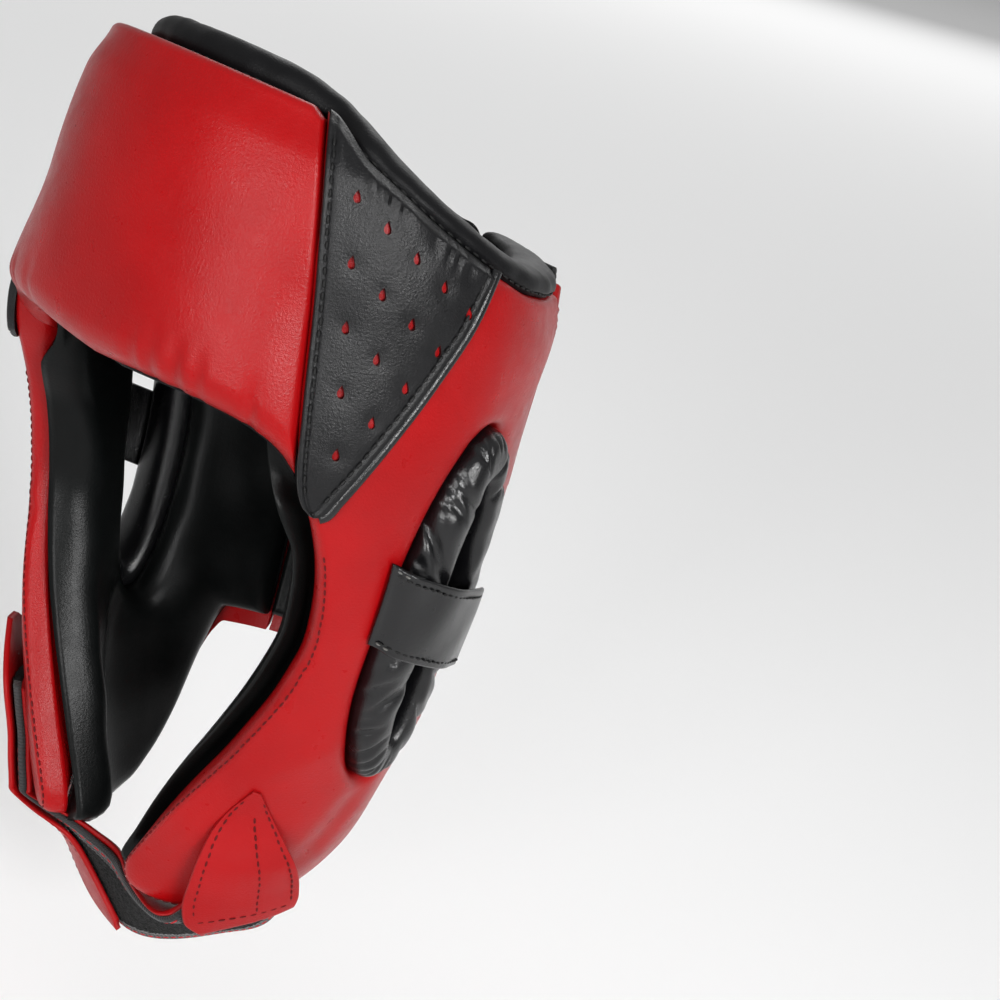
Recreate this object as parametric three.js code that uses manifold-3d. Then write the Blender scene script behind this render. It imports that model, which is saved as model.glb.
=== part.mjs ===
import * as THREE from "three";
import ManifoldModule from "manifold-3d";

// Padded head guard in red and black leather. Millimetres, +Z up, the face looks along -Y and the
// wearer's left is +X. The origin is the underside of the crown straps, where the top of a head sits.

// Driving dimensions
const PAD = 12;
const LINING = 7.5;
const GAP = 0.8;
const LEATHER = 1.8;
const LEATHER_GAP = 0.4;
const BROW_ROUND = 5.5;
const FOREHEAD_CROWN = 3.4;
const RIM_CLEAR = 1.4;
const HEAD_TOP = 41.8;
const EAR_THETA = 89;
const EAR_V = 124;
const EAR_LEAN = -0.05;
const EAR_HALF = 17;
const EAR_TALL = 60;
const EAR_PAD_HALF = 6.4;
const EAR_PAD_DEEP = 8;
const EAR_PAD_MIDDLE = -3.6;
const NAPE_V = 188;
const SIDE_REAR_FROM = 118;
const REAR_LEFT = 155;
const REAR_RIGHT = 140.5;
const LAP = 12.6;
const STRAP_TALL = 76;
const STRAP_FOLD = 132;
const FLAP_END = 14;
const CHIN_WIDE = 36;
const CROWN_WIDE = 22;
const CROWN_SLOPE = 0.286;
const WEB_THICK = 1.4;
const WEB_WIDE = 10;
const WEB_THETA = 137.4;
const LOOP_THICK = 1.4;
const LOOP_GAP = 1.2;
const PULL_GAP = 1.3;
const LINING_HOLE = 8;
const LINING_REACH = 2.5;
const LINING_LEFT_REAR = 147.5;
const LINING_LEFT_GAP = 1.3;
const PATCH_BOW = 1.4;
const REAR_DROP = 0.5;
const MM_PER_DEGREE = 1.3;
const PINCH_FROM = -16;
const PINCH_TO = 44;

// Outer skin, section by section. Each section is a tilted oval: v is the way down the wall from the
// front rim, height and centre place it, half, front and back are its reaches, fold is its squareness,
// and pinch is the share by which the wall draws in from the ears to the back.
const SKIN = [
  // v, height, centre, half, front, back, tilt in degrees, fold in front, fold behind, pinch
  [-12, -6, 0, 61, 65, 57, 15, 2.1, 2.1, 0],
  [0, -18, 0, 64, 68, 60, 15, 2.1, 2.1, 0],
  [14, -31, 0, 72, 73, 67, 15, 2.1, 2.1, 0.05],
  [42, -57, 1, 77, 76, 70, 13, 2.1, 2.1, 0.11],
  [85, -98, 3, 77, 79, 71, 10, 2.4, 2.1, 0.18],
  [130, -141, 5, 73, 71, 67, 7, 2.5, 2.2, 0.2],
  [175, -184, 5, 67, 61, 63, 4, 2.4, 2.2, 0.2],
  [215, -223, 2, 56, 51, 52, 2, 2.3, 2.2, 0.15],
  [250, -257, -5, 39, 40, 37, 0, 2.2, 2.2, 0.08],
  [280, -287, -12, 18, 22, 22, 0, 2.1, 2.1, 0],
];

// Top rim: how far down the wall its top edge runs, by angle from the front
const RIM = [
  // theta, v
  [0, -10.5], [20, -10.5], [39, -7.5], [53, 1], [65, 7.5], [78, 12.5], [95, 16], [110, 15.5], [125, 14],
  [140, 12], [155, 11], [180, 10],
];

// Seam between forehead and side
const SEAM = [
  // v, theta
  [0, 38.8], [20, 41.6], [44, 44], [69, 45.5], [87, 46.5], [99, 50],
];

// Lower edge of the forehead, as a share of the seam angle
const BROW = [
  // share, v
  [0, 81], [0.45, 79.5], [0.7, 80.2], [0.86, 82.5], [0.95, 86], [1, 90],
];

// Edge of one side, from the forehead seam down the cheek, round the jaw and nape, and back along the
// rim. phi is the matching place on the ear hole, round is the radius of the rolled edge.
const SIDE = [
  // phi, theta, v, round
  [-62, 39.6, 6.5, 1.5], [-57, 42.6, 27, 1.5], [-50, 44.6, 48, 1.5], [-42, 45.9, 70, 1.5],
  [-32, 47.2, 89.5, 2], [-22, 51.5, 102, 4], [-10, 54.5, 114, 5], [2, 56, 125, 5],
  [14, 56.5, 136, 5], [26, 54, 151.5, 5], [37, 47, 173.5, 5], [45, 37, 197, 5],
  [52, 28, 217.5, 5], [58, 23.5, 229, 5], [63, 25, 234, 5], [68, 32, 237, 5],
  [78, 56, 238.5, 5], [90, 84, 236.5, 5], [98, 101, 229, 5], [105, 110, 219, 5],
  [112, 115, 208, 5], [118, 118, 199, 5], [124, 121, 191.5, 4], [131, 128, 188, 4],
  [140, 140, 188, 4], [150, 155, 188, 4], [168, 155, 150, 3], [186, 155, 110, 3],
  [204, 155, 70, 3], [220, 155, 36, 3], [231, 155, 13, 2], [238, 141, 18, 1.5],
  [246, 126, 24, 1.5], [256, 110, 27, 1.5], [266, 95, 27, 1.5], [277, 79, 24.5, 1.5],
  [286, 66, 19.5, 1.5], [293, 53.5, 13.5, 1.5],
];

// Perforated temple patch, between its front edge and its rear edge
const PATCH = [
  // share of the way down, front theta, front v, rear theta, rear v
  [0, 41, 7.6, 79.5, 25.6], [0.2, 43.6, 25, 74.4, 39.5], [0.45, 45.9, 48, 67.6, 58],
  [0.7, 47.3, 71, 60, 77.5], [0.9, 48.8, 89, 54.5, 91.8], [1, 50, 97.6, 52, 98.6],
];

// Section of the rim binding along the rim
const BINDING = [
  // theta, h of its middle, half depth, half height
  [0, -17, 3.7, 4.8], [39.6, -17, 3.7, 4.8], [47.5, -9.9, 7.4, 5.2], [60, -8.9, 8.2, 5],
  [95, -8.9, 8.2, 4.6], [180, -8.9, 8.2, 4.2],
];

// Chin tab on the left cheek, from its apex down: front edge, rear edge, and height over the skin
const TAB = [
  // share of the way down, front theta, front v, rear theta, rear v, lift
  [0, 53.6, 186, 55.4, 186.5, 0.5], [0.2, 49.5, 195, 60, 194, 0.5], [0.4, 46.6, 205, 66, 203, 2.8],
  [0.6, 45.6, 216, 72, 212, 6], [0.8, 46, 227, 77, 221, 6.6], [0.93, 49, 236, 80, 227.5, 7.6],
  [1, 56, 241, 81, 231, 8],
];

const wasm = await ManifoldModule();
wasm.setup();

const RED = new THREE.MeshStandardMaterial({ name: "red_leather", color: 0xb5121b, roughness: 0.5 });
const BLACK = new THREE.MeshStandardMaterial({ name: "black_leather", color: 0x17171a, roughness: 0.45 });
const INNER = new THREE.MeshStandardMaterial({ name: "lining_leather", color: 0x101113, roughness: 0.55 });
const WEB = new THREE.MeshStandardMaterial({ name: "webbing", color: 0x1c1c1f, roughness: 0.85 });
const LOOP = new THREE.MeshStandardMaterial({ name: "loop_pile", color: 0x0d0d0e, roughness: 0.98 });

// Smooth curve through a table, without overshoot
function curve(rows, column, key = 0) {
  const x = rows.map((row) => row[key]);
  const y = rows.map((row) => row[column]);
  const n = x.length;
  const step = x.slice(1).map((end, i) => end - x[i]);
  const rise = step.map((width, i) => (y[i + 1] - y[i]) / width);
  const slope = y.map((_, i) => {
    if (i === 0) return rise[0];
    if (i === n - 1) return rise[n - 2];
    if (rise[i - 1] * rise[i] <= 0) return 0;
    const a = 2 * step[i] + step[i - 1];
    const b = step[i] + 2 * step[i - 1];
    return (a + b) / (a / rise[i - 1] + b / rise[i]);
  });
  return (at) => {
    let i = 0;
    while (i < n - 2 && at > x[i + 1]) i += 1;
    const t = Math.min(1, Math.max(0, (at - x[i]) / step[i]));
    const t2 = t * t;
    const t3 = t2 * t;
    return (2 * t3 - 3 * t2 + 1) * y[i] + (t3 - 2 * t2 + t) * step[i] * slope[i]
      + (3 * t2 - 2 * t3) * y[i + 1] + (t3 - t2) * step[i] * slope[i + 1];
  };
}

const rad = (degrees) => degrees * Math.PI / 180;
const mix = (a, b, t) => a + (b - a) * t;
const ease = (from, to, x) => {
  const t = Math.min(1, Math.max(0, (x - from) / (to - from)));
  return t * t * (3 - 2 * t);
};
const skin = [1, 2, 3, 4, 5, 6, 7, 8, 9].map((column) => curve(SKIN, column));
const rimCurve = curve(RIM, 1);
const seam = curve(SEAM, 1);
const brow = curve(BROW, 1);
const wrap = (theta) => Math.abs(((theta + 540) % 360) - 180);
const rimTop = (theta) => rimCurve(wrap(theta));

const bindingMiddle = curve(BINDING, 1);
const bindingDeep = curve(BINDING, 2);
const bindingHalf = curve(BINDING, 3);
const rimLow = (theta) => rimTop(theta) + 2 * bindingHalf(wrap(theta)) + RIM_CLEAR;

// Point of the skin: theta round from the front towards the wearer's left, v down, h outwards
function point(theta, v, h) {
  const [height, centre, half, front, back, tilt, foldFront, foldBack, pinch] = skin.map((at) => at(v));
  const s = Math.sin(rad(theta));
  const c = Math.cos(rad(theta));
  const fold = c > 0 ? foldFront : foldBack;
  const reach = (c > 0 ? front : back) + h;
  const r = (Math.abs(s / (half + h)) ** fold + Math.abs(c / reach) ** fold) ** (-1 / fold);
  const along = -r * c;
  const lean = rad(tilt);
  const z = height + HEAD_TOP - along * Math.sin(lean);
  const narrow = 1 - pinch * ease(PINCH_FROM, PINCH_TO, along);
  return new THREE.Vector3(r * s * narrow, centre + along * Math.cos(lean), z);
}

const perDegree = (theta, v) => point(theta + 1, v, 0).distanceTo(point(theta - 1, v, 0)) / 2;

const group = new THREE.Group();
group.name = "head_guard";

// Closed body from corner points and triangles, turned so that its faces look out
function body(corners, faces) {
  let volume = 0;
  for (const [a, b, c] of faces) {
    volume += corners[a].dot(new THREE.Vector3().crossVectors(corners[b], corners[c]));
  }
  const turned = volume < 0 ? faces.map(([a, b, c]) => [a, c, b]) : faces;
  const geometry = new THREE.BufferGeometry();
  const numbers = corners.flatMap((p) => [p.x, p.y, p.z]);
  geometry.setAttribute("position", new THREE.Float32BufferAttribute(numbers, 3));
  geometry.setIndex(turned.flat());
  geometry.computeVertexNormals();
  return geometry;
}

function add(name, material, geometry) {
  const mesh = new THREE.Mesh(geometry, material);
  mesh.name = name;
  group.add(mesh);
}

// Grid body: outer and inner are lists of lines of points. A ring closes each line on itself.
function slab(outer, inner, ring) {
  const corners = [];
  const faces = [];
  const index = (lines) => lines.map((line) => line.map((p) => corners.push(p) - 1));
  const top = index(outer);
  const low = index(inner);
  const quad = (a, b, c, d) => faces.push([a, b, c], [a, c, d]);
  const count = outer[0].length;
  const spans = ring ? count : count - 1;
  const sheet = (ids, flip) => {
    for (let j = 0; j + 1 < ids.length; j += 1) {
      for (let i = 0; i < spans; i += 1) {
        const k = (i + 1) % count;
        if (flip) quad(ids[j][i], ids[j + 1][i], ids[j + 1][k], ids[j][k]);
        else quad(ids[j][i], ids[j][k], ids[j + 1][k], ids[j + 1][i]);
      }
    }
  };
  sheet(top, false);
  sheet(low, true);
  const last = top.length - 1;
  const end = low.length - 1;
  for (let i = 0; i < spans; i += 1) {
    const k = (i + 1) % count;
    quad(top[0][k], top[0][i], low[0][i], low[0][k]);
    quad(top[last][i], top[last][k], low[end][k], low[end][i]);
  }
  if (!ring) {
    for (let j = 0; j < last; j += 1) {
      quad(top[j][0], top[j + 1][0], low[j + 1][0], low[j][0]);
      quad(top[j + 1][count - 1], top[j][count - 1], low[j][count - 1], low[j + 1][count - 1]);
    }
  }
  return body(corners, faces);
}

// Lines across a rolled edge: share of the radius from the edge, and how far the face drops there
const ROLL = [[0, 1], [0.3, 0.29], [1, 0]];
const BEVEL = [[0, 1], [1, 0]];

// Stations along a width with a rolled edge at both ends: place from 0 to 1 and drop in millimetres
function stations(width, firstRound, lastRound, inside, lines = ROLL) {
  const list = lines.map(([share, drop]) => [share * firstRound / width, drop * firstRound]);
  const from = firstRound / width;
  const to = 1 - lastRound / width;
  for (let k = 1; k <= inside; k += 1) list.push([mix(from, to, k / (inside + 1)), 0]);
  for (const [share, drop] of [...lines].reverse()) {
    list.push([1 - share * lastRound / width, drop * lastRound]);
  }
  return list;
}

// Four-sided pad on the skin
function pad(name, material, place, top, low, across, down, crown = 0) {
  const outer = [];
  const inner = [];
  for (const [t, dropT] of down) {
    const line = [];
    const under = [];
    for (const [s, dropS] of across) {
      const [theta, v, shift = 0] = place(s, t);
      const drop = Math.min(Math.hypot(dropS, dropT), top - low - 1);
      const bulge = crown * (1 - (2 * s - 1) ** 8) * ease(0.1, 0.9, t);
      line.push(point(theta, v, top - drop + shift + bulge));
      under.push(point(theta, v, low + shift));
    }
    outer.push(line);
    inner.push(under);
  }
  add(name, material, slab(outer, inner, false));
}

// Ear hole, and the same hole drawn in by a width in millimetres
function ear(phi, inset) {
  const c = -Math.cos(rad(phi));
  const s = Math.sin(rad(phi));
  const half = EAR_HALF - inset / MM_PER_DEGREE;
  const v = EAR_V + (EAR_TALL - inset) * Math.sign(s) * Math.abs(s) ** 0.9;
  return [EAR_THETA + EAR_LEAN * (v - EAR_V) + half * Math.sign(c) * Math.abs(c) ** 0.9, v];
}

// Padded side that surrounds the ear hole
function side(name, material, sign, rear, top, low, hole, reach, roll) {
  const edge = SIDE.map(([phi, theta, v, round]) => {
    const rearward = (theta - SIDE_REAR_FROM) / (REAR_LEFT - SIDE_REAR_FROM);
    const squeezed = rearward > 0 && v < NAPE_V + 2 ? mix(SIDE_REAR_FROM, rear, rearward) : theta;
    const down = phi > 230 || phi < -60 ? rimLow(squeezed) : v;
    const forward = phi > -25 && phi < 60 ? reach / perDegree(squeezed, down) : 0;
    const lift = phi > 50 && phi < 108 ? reach * 0.5 : 0;
    return { phi, theta: squeezed - forward, v: down + lift, round: Math.min(round, roll) };
  });
  const outer = [];
  const inner = [];
  for (const { phi, theta, v, round } of edge) {
    const [earTheta, earV] = ear(phi, hole);
    const width = point(theta, v, 0).distanceTo(point(earTheta, earV, 0));
    const place = (t, h) => point(sign * mix(earTheta, theta, t), mix(earV, v, t), h);
    stations(width, Math.min(4, roll), round, 3, roll < 4 ? BEVEL : ROLL).forEach(([t, drop], j) => {
      outer[j] = [...(outer[j] ?? []), place(t, top - drop)];
    });
    [0, 0.25, 0.5, 0.75, 1].forEach((t, j) => {
      inner[j] = [...(inner[j] ?? []), place(t, low)];
    });
  }
  add(name, material, slab(outer, inner, true));
}

// Full oval section of a padded roll, as steps across and out
function oval(half, deep, sides) {
  return Array.from({ length: sides }, (_, k) => {
    const turn = 2 * Math.PI * (k + 0.5) / sides;
    const full = (x) => Math.sign(x) * Math.abs(x) ** 0.8;
    return [half * full(Math.cos(turn)), deep * full(Math.sin(turn))];
  });
}

// Skin of a roll through its rings of points, closed on itself or capped at both ends
function tube(rings, closed) {
  const sides = rings[0].length;
  const corners = rings.flat();
  const faces = [];
  const spans = closed ? rings.length : rings.length - 1;
  for (let i = 0; i < spans; i += 1) {
    const next = (i + 1) % rings.length;
    for (let k = 0; k < sides; k += 1) {
      const far = (k + 1) % sides;
      faces.push([i * sides + k, next * sides + k, next * sides + far]);
      faces.push([i * sides + k, next * sides + far, i * sides + far]);
    }
  }
  if (!closed) {
    const end = (rings.length - 1) * sides;
    for (let k = 1; k + 1 < sides; k += 1) {
      faces.push([0, k, k + 1]);
      faces.push([end, end + k + 1, end + k]);
    }
  }
  return body(corners, faces);
}

// Strap that lies round the guard: a ribbon drawn as theta and h, between two limits down the wall
function ribbon(name, material, path, thick, limits, rows, end = 0) {
  const rise = path.map(([theta, h], i) => {
    const [beforeTheta, beforeH] = path[Math.max(0, i - 1)];
    const [afterTheta, afterH] = path[Math.min(path.length - 1, i + 1)];
    const run = new THREE.Vector2((afterTheta - beforeTheta) * MM_PER_DEGREE, afterH - beforeH).normalize();
    return [-run.y / MM_PER_DEGREE, run.x, theta, h];
  });
  const lines = (sign) => Array.from({ length: rows + 1 }, (_, j) => rise.map(([dTheta, dH, theta, h]) => {
    const [from, to] = limits(theta);
    const left = Math.abs(path[path.length - 1][0] - theta) * MM_PER_DEGREE;
    const trim = end > left ? end - Math.sqrt(Math.max(0, end * end - (end - left) ** 2)) : 0;
    const v = mix(from + trim, to - trim, j / rows);
    return point(theta + sign * dTheta * thick / 2, v, h + sign * dH * thick / 2);
  }));
  add(name, material, slab(lines(1), lines(-1), false));
}

// Band given by rungs: each rung places a point from its way across and its offset outwards
function band(name, material, rungs, wide, thick, base, across) {
  const lines = (offset) => rungs.map((rung) => Array.from({ length: across + 1 }, (_, k) => (
    rung(mix(-wide / 2, wide / 2, k / across), offset))));
  add(name, material, slab(lines(base + thick), lines(base), false));
}

// Forehead
const foreheadPlace = (s, t) => {
  const share = 2 * s - 1;
  const v = mix(-0.5, brow(Math.abs(share)), t);
  return [share * (seam(v) - 0.35), v];
};
pad("forehead_pad", RED, foreheadPlace, 0, -PAD, stations(116, 3, 3, 11), stations(82, 6, BROW_ROUND, 5),
  FOREHEAD_CROWN);

const frontPlace = (s, t) => {
  const share = 2 * s - 1;
  const v = mix(4.4, brow(Math.abs(share)) + 2.5, t);
  return [share * (seam(v) - 0.6), v];
};
pad("lining_front", INNER, frontPlace, -PAD - GAP, -PAD - GAP - LINING, stations(96, 1, 1, 11, BEVEL),
  stations(74, 1.5, 3, 4, BEVEL));

// Sides and their lining
side("side_pad_left", RED, 1, REAR_LEFT, 0, -PAD, 0, 0, 5);
side("side_pad_right", RED, -1, REAR_RIGHT, 0, -PAD, 0, 0, 5);
side("lining_left", INNER, 1, LINING_LEFT_REAR, -PAD - LINING_LEFT_GAP, -PAD - GAP - LINING, LINING_HOLE,
  LINING_REACH, 3);
side("lining_right", INNER, -1, REAR_RIGHT - 0.6, -PAD - GAP, -PAD - GAP - LINING, LINING_HOLE,
  LINING_REACH, 3);

// Rear pad, whose far end runs in under the end of the left side
const REAR_LINING = -PAD - 5.5;
const lapShift = (theta) => -LAP * (1 - ease(160, 212, theta));
const rearPlace = (from, to) => (s, t) => {
  const theta = mix(from, to, s);
  return [theta, mix(rimLow(theta), NAPE_V, t), lapShift(theta)];
};
pad("rear_pad", RED, rearPlace(218.6, 149), -REAR_DROP, -PAD + 1, stations(86, 3, 3, 7),
  stations(174, 1.5, 4, 4));
pad("lining_rear", INNER, rearPlace(219.2, LINING_LEFT_REAR), -PAD + 1 - GAP, REAR_LINING,
  stations(86, 2, 2, 7, BEVEL), stations(174, 1.5, 3, 4, BEVEL));

// Rim binding: down the left end, round the front, and along the rear
const cornerV = rimTop(154) + bindingHalf(154);
const rimPath = [100, 70, 46, cornerV + 16, cornerV + 6].map((v) => (
  { theta: 159.4, v, h: -5.6, half: 3, deep: 5.2 }));
rimPath.push({ theta: 158, v: cornerV + 1.6, h: -6.4, half: 3.2, deep: 6 });
const rimStations = [154, 150, 144, 136, 128, 120, 110, 100, 90, 80, 71, 64, 58, 52, 47.5, 43.5, 39.6, 34, 26,
  17, 8, 0];
for (const theta of rimStations) {
  const half = bindingHalf(theta);
  rimPath.push({ theta, v: rimTop(theta) + half, h: bindingMiddle(theta), half, deep: bindingDeep(theta) });
}
[...rimPath].reverse().filter(({ theta }) => theta > 0 && theta < 150).forEach((entry) => {
  rimPath.push({ ...entry, theta: -entry.theta });
});
for (const theta of [208, 200, 192, 184, 176, 168, 160, 152]) {
  const half = bindingHalf(wrap(theta));
  const lapped = 1 - ease(158, 190, theta);
  const h = bindingMiddle(180) + lapShift(theta) - 2 * lapped;
  rimPath.push({ theta: theta - 360, v: rimTop(theta) + half, h, half, deep: mix(8, 5, lapped) });
}
const rimRings = rimPath.map(({ theta, v, h, half, deep }, i) => {
  const before = rimPath[Math.max(0, i - 1)];
  const after = rimPath[Math.min(rimPath.length - 1, i + 1)];
  const scale = perDegree(theta, v);
  const run = new THREE.Vector2((after.theta - before.theta) * scale, after.v - before.v).normalize();
  return oval(half, deep, 8).map(([out, up]) => point(theta - run.y * out / scale, v + run.x * out, h + up));
});
add("top_rim", BLACK, tube(rimRings, false));

// Temple patches with their holes
const patchColumns = [1, 2, 3, 4].map((column) => curve(PATCH, column));
const patchPlace = (sign) => (s, t) => {
  const [frontTheta, frontV, rearTheta, rearV] = patchColumns.map((column) => column(t));
  const bow = PATCH_BOW * Math.sin(Math.PI * s) * (1 - ease(0, 0.25, t));
  return [sign * mix(frontTheta, rearTheta, s), mix(frontV, rearV, s) + bow];
};
function toManifold(geometry) {
  return new wasm.Manifold(new wasm.Mesh({
    numProp: 3,
    vertProperties: new Float32Array(geometry.getAttribute("position").array),
    triVerts: new Uint32Array(geometry.getIndex().array),
  }));
}
function fromManifold(solid) {
  const mesh = solid.getMesh();
  const geometry = new THREE.BufferGeometry();
  geometry.setAttribute("position", new THREE.BufferAttribute(new Float32Array(mesh.vertProperties), 3));
  geometry.setIndex([...mesh.triVerts]);
  geometry.computeVertexNormals();
  return geometry;
}
function patch(name, sign) {
  const place = patchPlace(sign);
  const even = (count) => Array.from({ length: count + 1 }, (_, k) => k / count);
  const sheet = (h) => even(6).map((t) => even(5).map((s) => point(...place(s, t), h)));
  let solid = toManifold(slab(sheet(LEATHER_GAP + LEATHER), sheet(LEATHER_GAP), false));
  for (let row = 0; row < 5; row += 1) {
    for (let k = 0; k + row < 5; k += 1) {
      const theta = 47.6 + 6.45 * k + 1.2 * row;
      const v = 17.2 + 15.6 * row + 4.2 * k + 0.3 * k * row;
      const outline = [[0, -2.1], [0.95, 0.1], [0.55, 1.3], [-0.55, 1.3], [-0.95, 0.1]];
      const scale = perDegree(theta, v);
      const prong = (h) => outline.map(([x, y]) => point(sign * (theta + x / scale), v + y, h));
      const corners = [...prong(6), ...prong(-4)];
      const faces = [];
      for (let i = 0; i < 5; i += 1) {
        const n = (i + 1) % 5;
        faces.push([i, n, 5 + n], [i, 5 + n, 5 + i]);
        if (i > 0 && i < 4) faces.push([0, n, i], [5, 5 + i, 5 + n]);
      }
      solid = solid.subtract(toManifold(body(corners, faces)));
    }
  }
  add(name, BLACK, fromManifold(solid));
}
patch("temple_patch_left", 1);
patch("temple_patch_right", -1);

// Ear pads and the straps across them
const EAR_STATIONS = 24;
function earPad(name, sign) {
  const section = oval(EAR_PAD_HALF, EAR_PAD_DEEP, 8);
  const rings = Array.from({ length: EAR_STATIONS }, (_, i) => section.map(([out, up]) => {
    const [theta, v] = ear(i * 360 / EAR_STATIONS, EAR_PAD_HALF + LEATHER_GAP + out);
    return point(sign * theta, v, up + EAR_PAD_MIDDLE);
  }));
  add(name, BLACK, tube(rings, true));
}
earPad("ear_pad_left", 1);
earPad("ear_pad_right", -1);
const earStrap = [[68.4, 1.4], [70, 1.8], [72.4, 4.9], [76, 6.3], [82, 6.8], [89, 7.1], [95, 7.3],
  [100, 7.4]];
const earLimits = (theta) => [107 + (Math.abs(theta) - 72) * 0.3, 133.5 + (Math.abs(theta) - 72) * 0.36];
ribbon("ear_strap_left", BLACK, earStrap, LEATHER, earLimits, 4);
ribbon("ear_strap_right", BLACK, earStrap.map(([theta, h]) => [-theta, h]), LEATHER, earLimits, 4);

// Rear straps: each has a loop panel sewn under one webbing and a flap folded round the other
const upperTop = (theta) => 18 + (theta - STRAP_FOLD) * 0.06;
const upper = (theta) => [upperTop(theta), upperTop(theta) + STRAP_TALL];
const lower = (theta) => [104, 104 + STRAP_TALL + (theta - STRAP_FOLD) * 0.04];
const inset = (limits, by) => (theta) => [limits(theta)[0] + by, limits(theta)[1] - by];
const fold = [[150, 1.4], [143, 1.4], [136, 1.5], [132, 1.9], [130.4, 3.6], [132, 5.4], [137, 6],
  [145, 5.9]];
const flap = [...fold, ...[155, 163, 170, 175, 179, 182, 184.4, 185.6].map((theta) => [theta, 5.4])];
const loop = [134, 140, 147, 154, 161, 168, 175, 182, 188].map((theta) => (
  [360 - theta, 1.4 + ease(150, 188, theta)]));
ribbon("upper_loop_panel", LOOP, loop, LEATHER, inset(upper, 0.5), 4);
ribbon("upper_flap", RED, flap, LEATHER, upper, 5, FLAP_END);
const mirror = (path) => path.map(([theta, h]) => [360 - theta, h]);
ribbon("lower_loop_panel", LOOP, mirror(loop), LEATHER, inset(lower, 0.5), 4);
ribbon("lower_flap", RED, mirror(flap), LEATHER, lower, 5, FLAP_END);

// Webbing that holds the straps, sewn to the shell at its top and bottom
const webPath = [[13.5, 0.5], [16.2, 0.6], [17.4, 2.8], [24, 2.8], [32, 2.8], [45, 2.8], [62, 2.8], [80, 2.8],
  [99, 2.8], [115, 2.8], [130, 2.8], [145, 2.8], [160, 2.8], [173, 2.8], [184.6, 2.8], [186, 0.6],
  [187, 0.5]];
function webbing(name, sign) {
  const rungs = webPath.map(([v, h]) => (w, offset) => (
    point(sign * (WEB_THETA + w / perDegree(WEB_THETA, v)), v, h + offset)));
  band(name, WEB, rungs, WEB_WIDE, WEB_THICK, 0, 2);
}
webbing("webbing_left", 1);
webbing("webbing_right", -1);

// Chin strap: from the left cheek, under the chin, and up the right cheek, with a loop facing outside
const cheekRung = (sign, theta, v, h) => (w, offset) => (
  point(sign * (theta - w / perDegree(theta, v)), v, h + offset));
const underRung = (x, y, z, across, out) => (w, offset) => (
  new THREE.Vector3(x, y, z + HEAD_TOP).addScaledVector(new THREE.Vector3(...across).normalize(), w)
    .addScaledVector(new THREE.Vector3(...out).normalize(), offset));
const CHIN = [
  // x, y, z of the middle, way across x, y, z, way out x, y, z
  [40.5, -23.5, -246, -0.34, -0.9, 0.1, 0.88, -0.4, -0.24],
  [28, -23, -252.8, -0.3, -0.84, 0.3, 0.62, -0.52, -0.58],
  [13, -21.5, -260.5, -0.16, -0.72, 0.6, 0.34, -0.68, -0.64],
  [0, -21, -264, 0, -0.62, 0.78, 0, -0.78, -0.62],
];
const chinNear = CHIN.map(([x, y, z, ...ways]) => underRung(x, y, z, ways.slice(0, 3), ways.slice(3)));
const chinFar = CHIN.slice(0, 3).reverse().map(([x, y, z, a, b, c, d, e, f]) => (
  underRung(-x, y, z, [-a, b, c], [-d, e, f])));
const farCheek = [236, 228, 220, 212, 204].map((v) => (
  cheekRung(-1, mix(60, 64, ease(204, 242, v)), v, mix(0.5, 1.4, ease(218, 236, v)))));
const chinRungs = [
  cheekRung(1, 66, 218, 0.5), cheekRung(1, 66, 227, 0.5), cheekRung(1, 65, 236, 1.6),
  ...chinNear, ...chinFar, ...farCheek,
];
band("chin_strap", RED, chinRungs, CHIN_WIDE, LEATHER, 0, 5);
band("chin_loop", LOOP, chinRungs, CHIN_WIDE - 2, LOOP_THICK, LEATHER + LOOP_GAP, 5);

// Right chin tab: a pointed pull that lies on the loop facing and stands off the right cheek at its tip
const TAB_BASE = LEATHER + LOOP_GAP + LOOP_THICK + PULL_GAP;
const pullRungs = [chinNear[2], ...chinNear.slice(3), ...chinFar, ...farCheek,
  cheekRung(-1, 59, 197, 0.5), cheekRung(-1, 58, 189, 0.8)];
const pullWide = [6, 24, 34, 34, 34, 34, 34, 34, 34, 32, 22, 5];
const pull = (offset) => pullRungs.map((rung, i) => Array.from({ length: 6 }, (_, k) => (
  rung(mix(-0.5, 0.5, k / 5) * pullWide[i], offset))));
add("chin_tab_right", RED, slab(pull(TAB_BASE + LEATHER), pull(TAB_BASE), false));

// Tab on the left cheek, over the sewn end of the strap
const tabColumns = [1, 2, 3, 4, 5].map((column) => curve(TAB, column));
const tabSheet = (h) => Array.from({ length: 9 }, (_, j) => Array.from({ length: 6 }, (_unused, i) => {
  const [frontTheta, frontV, rearTheta, rearV, lift] = tabColumns.map((column) => column(j / 8));
  return point(mix(frontTheta, rearTheta, i / 5), mix(frontV, rearV, i / 5), lift + h);
}));
add("chin_tab_left", RED, slab(tabSheet(LEATHER), tabSheet(0), false));

// Crown straps across the top opening, sewn to the lining, and the tab that joins them
const inside = -PAD - GAP - LINING - LEATHER_GAP;
const REAR_INSIDE = REAR_LINING - 2 * LEATHER_GAP;
const longRung = (from, to, share, z) => (w, offset) => new THREE.Vector3(
  w, mix(from.y, to.y, share), z + HEAD_TOP + offset);
const crossRung = (from, to, share, z) => (w, offset) => new THREE.Vector3(
  mix(from.x, to.x, share), w, z + HEAD_TOP + offset - CROWN_SLOPE * w);
const sewn = (theta, v, h) => (w, offset) => {
  const spread = theta === 0 || theta === 90 ? 1 : -1;
  return point(theta + spread * w / perDegree(theta, v), v, h - WEB_THICK + offset);
};
const sewnBehind = (v) => (w, offset) => {
  const theta = 180 - w / perDegree(180, v);
  return point(theta, v, REAR_INSIDE + lapShift(theta) - WEB_THICK + offset);
};
const front = point(0, 17, inside);
const back = point(180, 22, REAR_INSIDE + lapShift(180));
const left = point(90, 34, inside);
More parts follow.
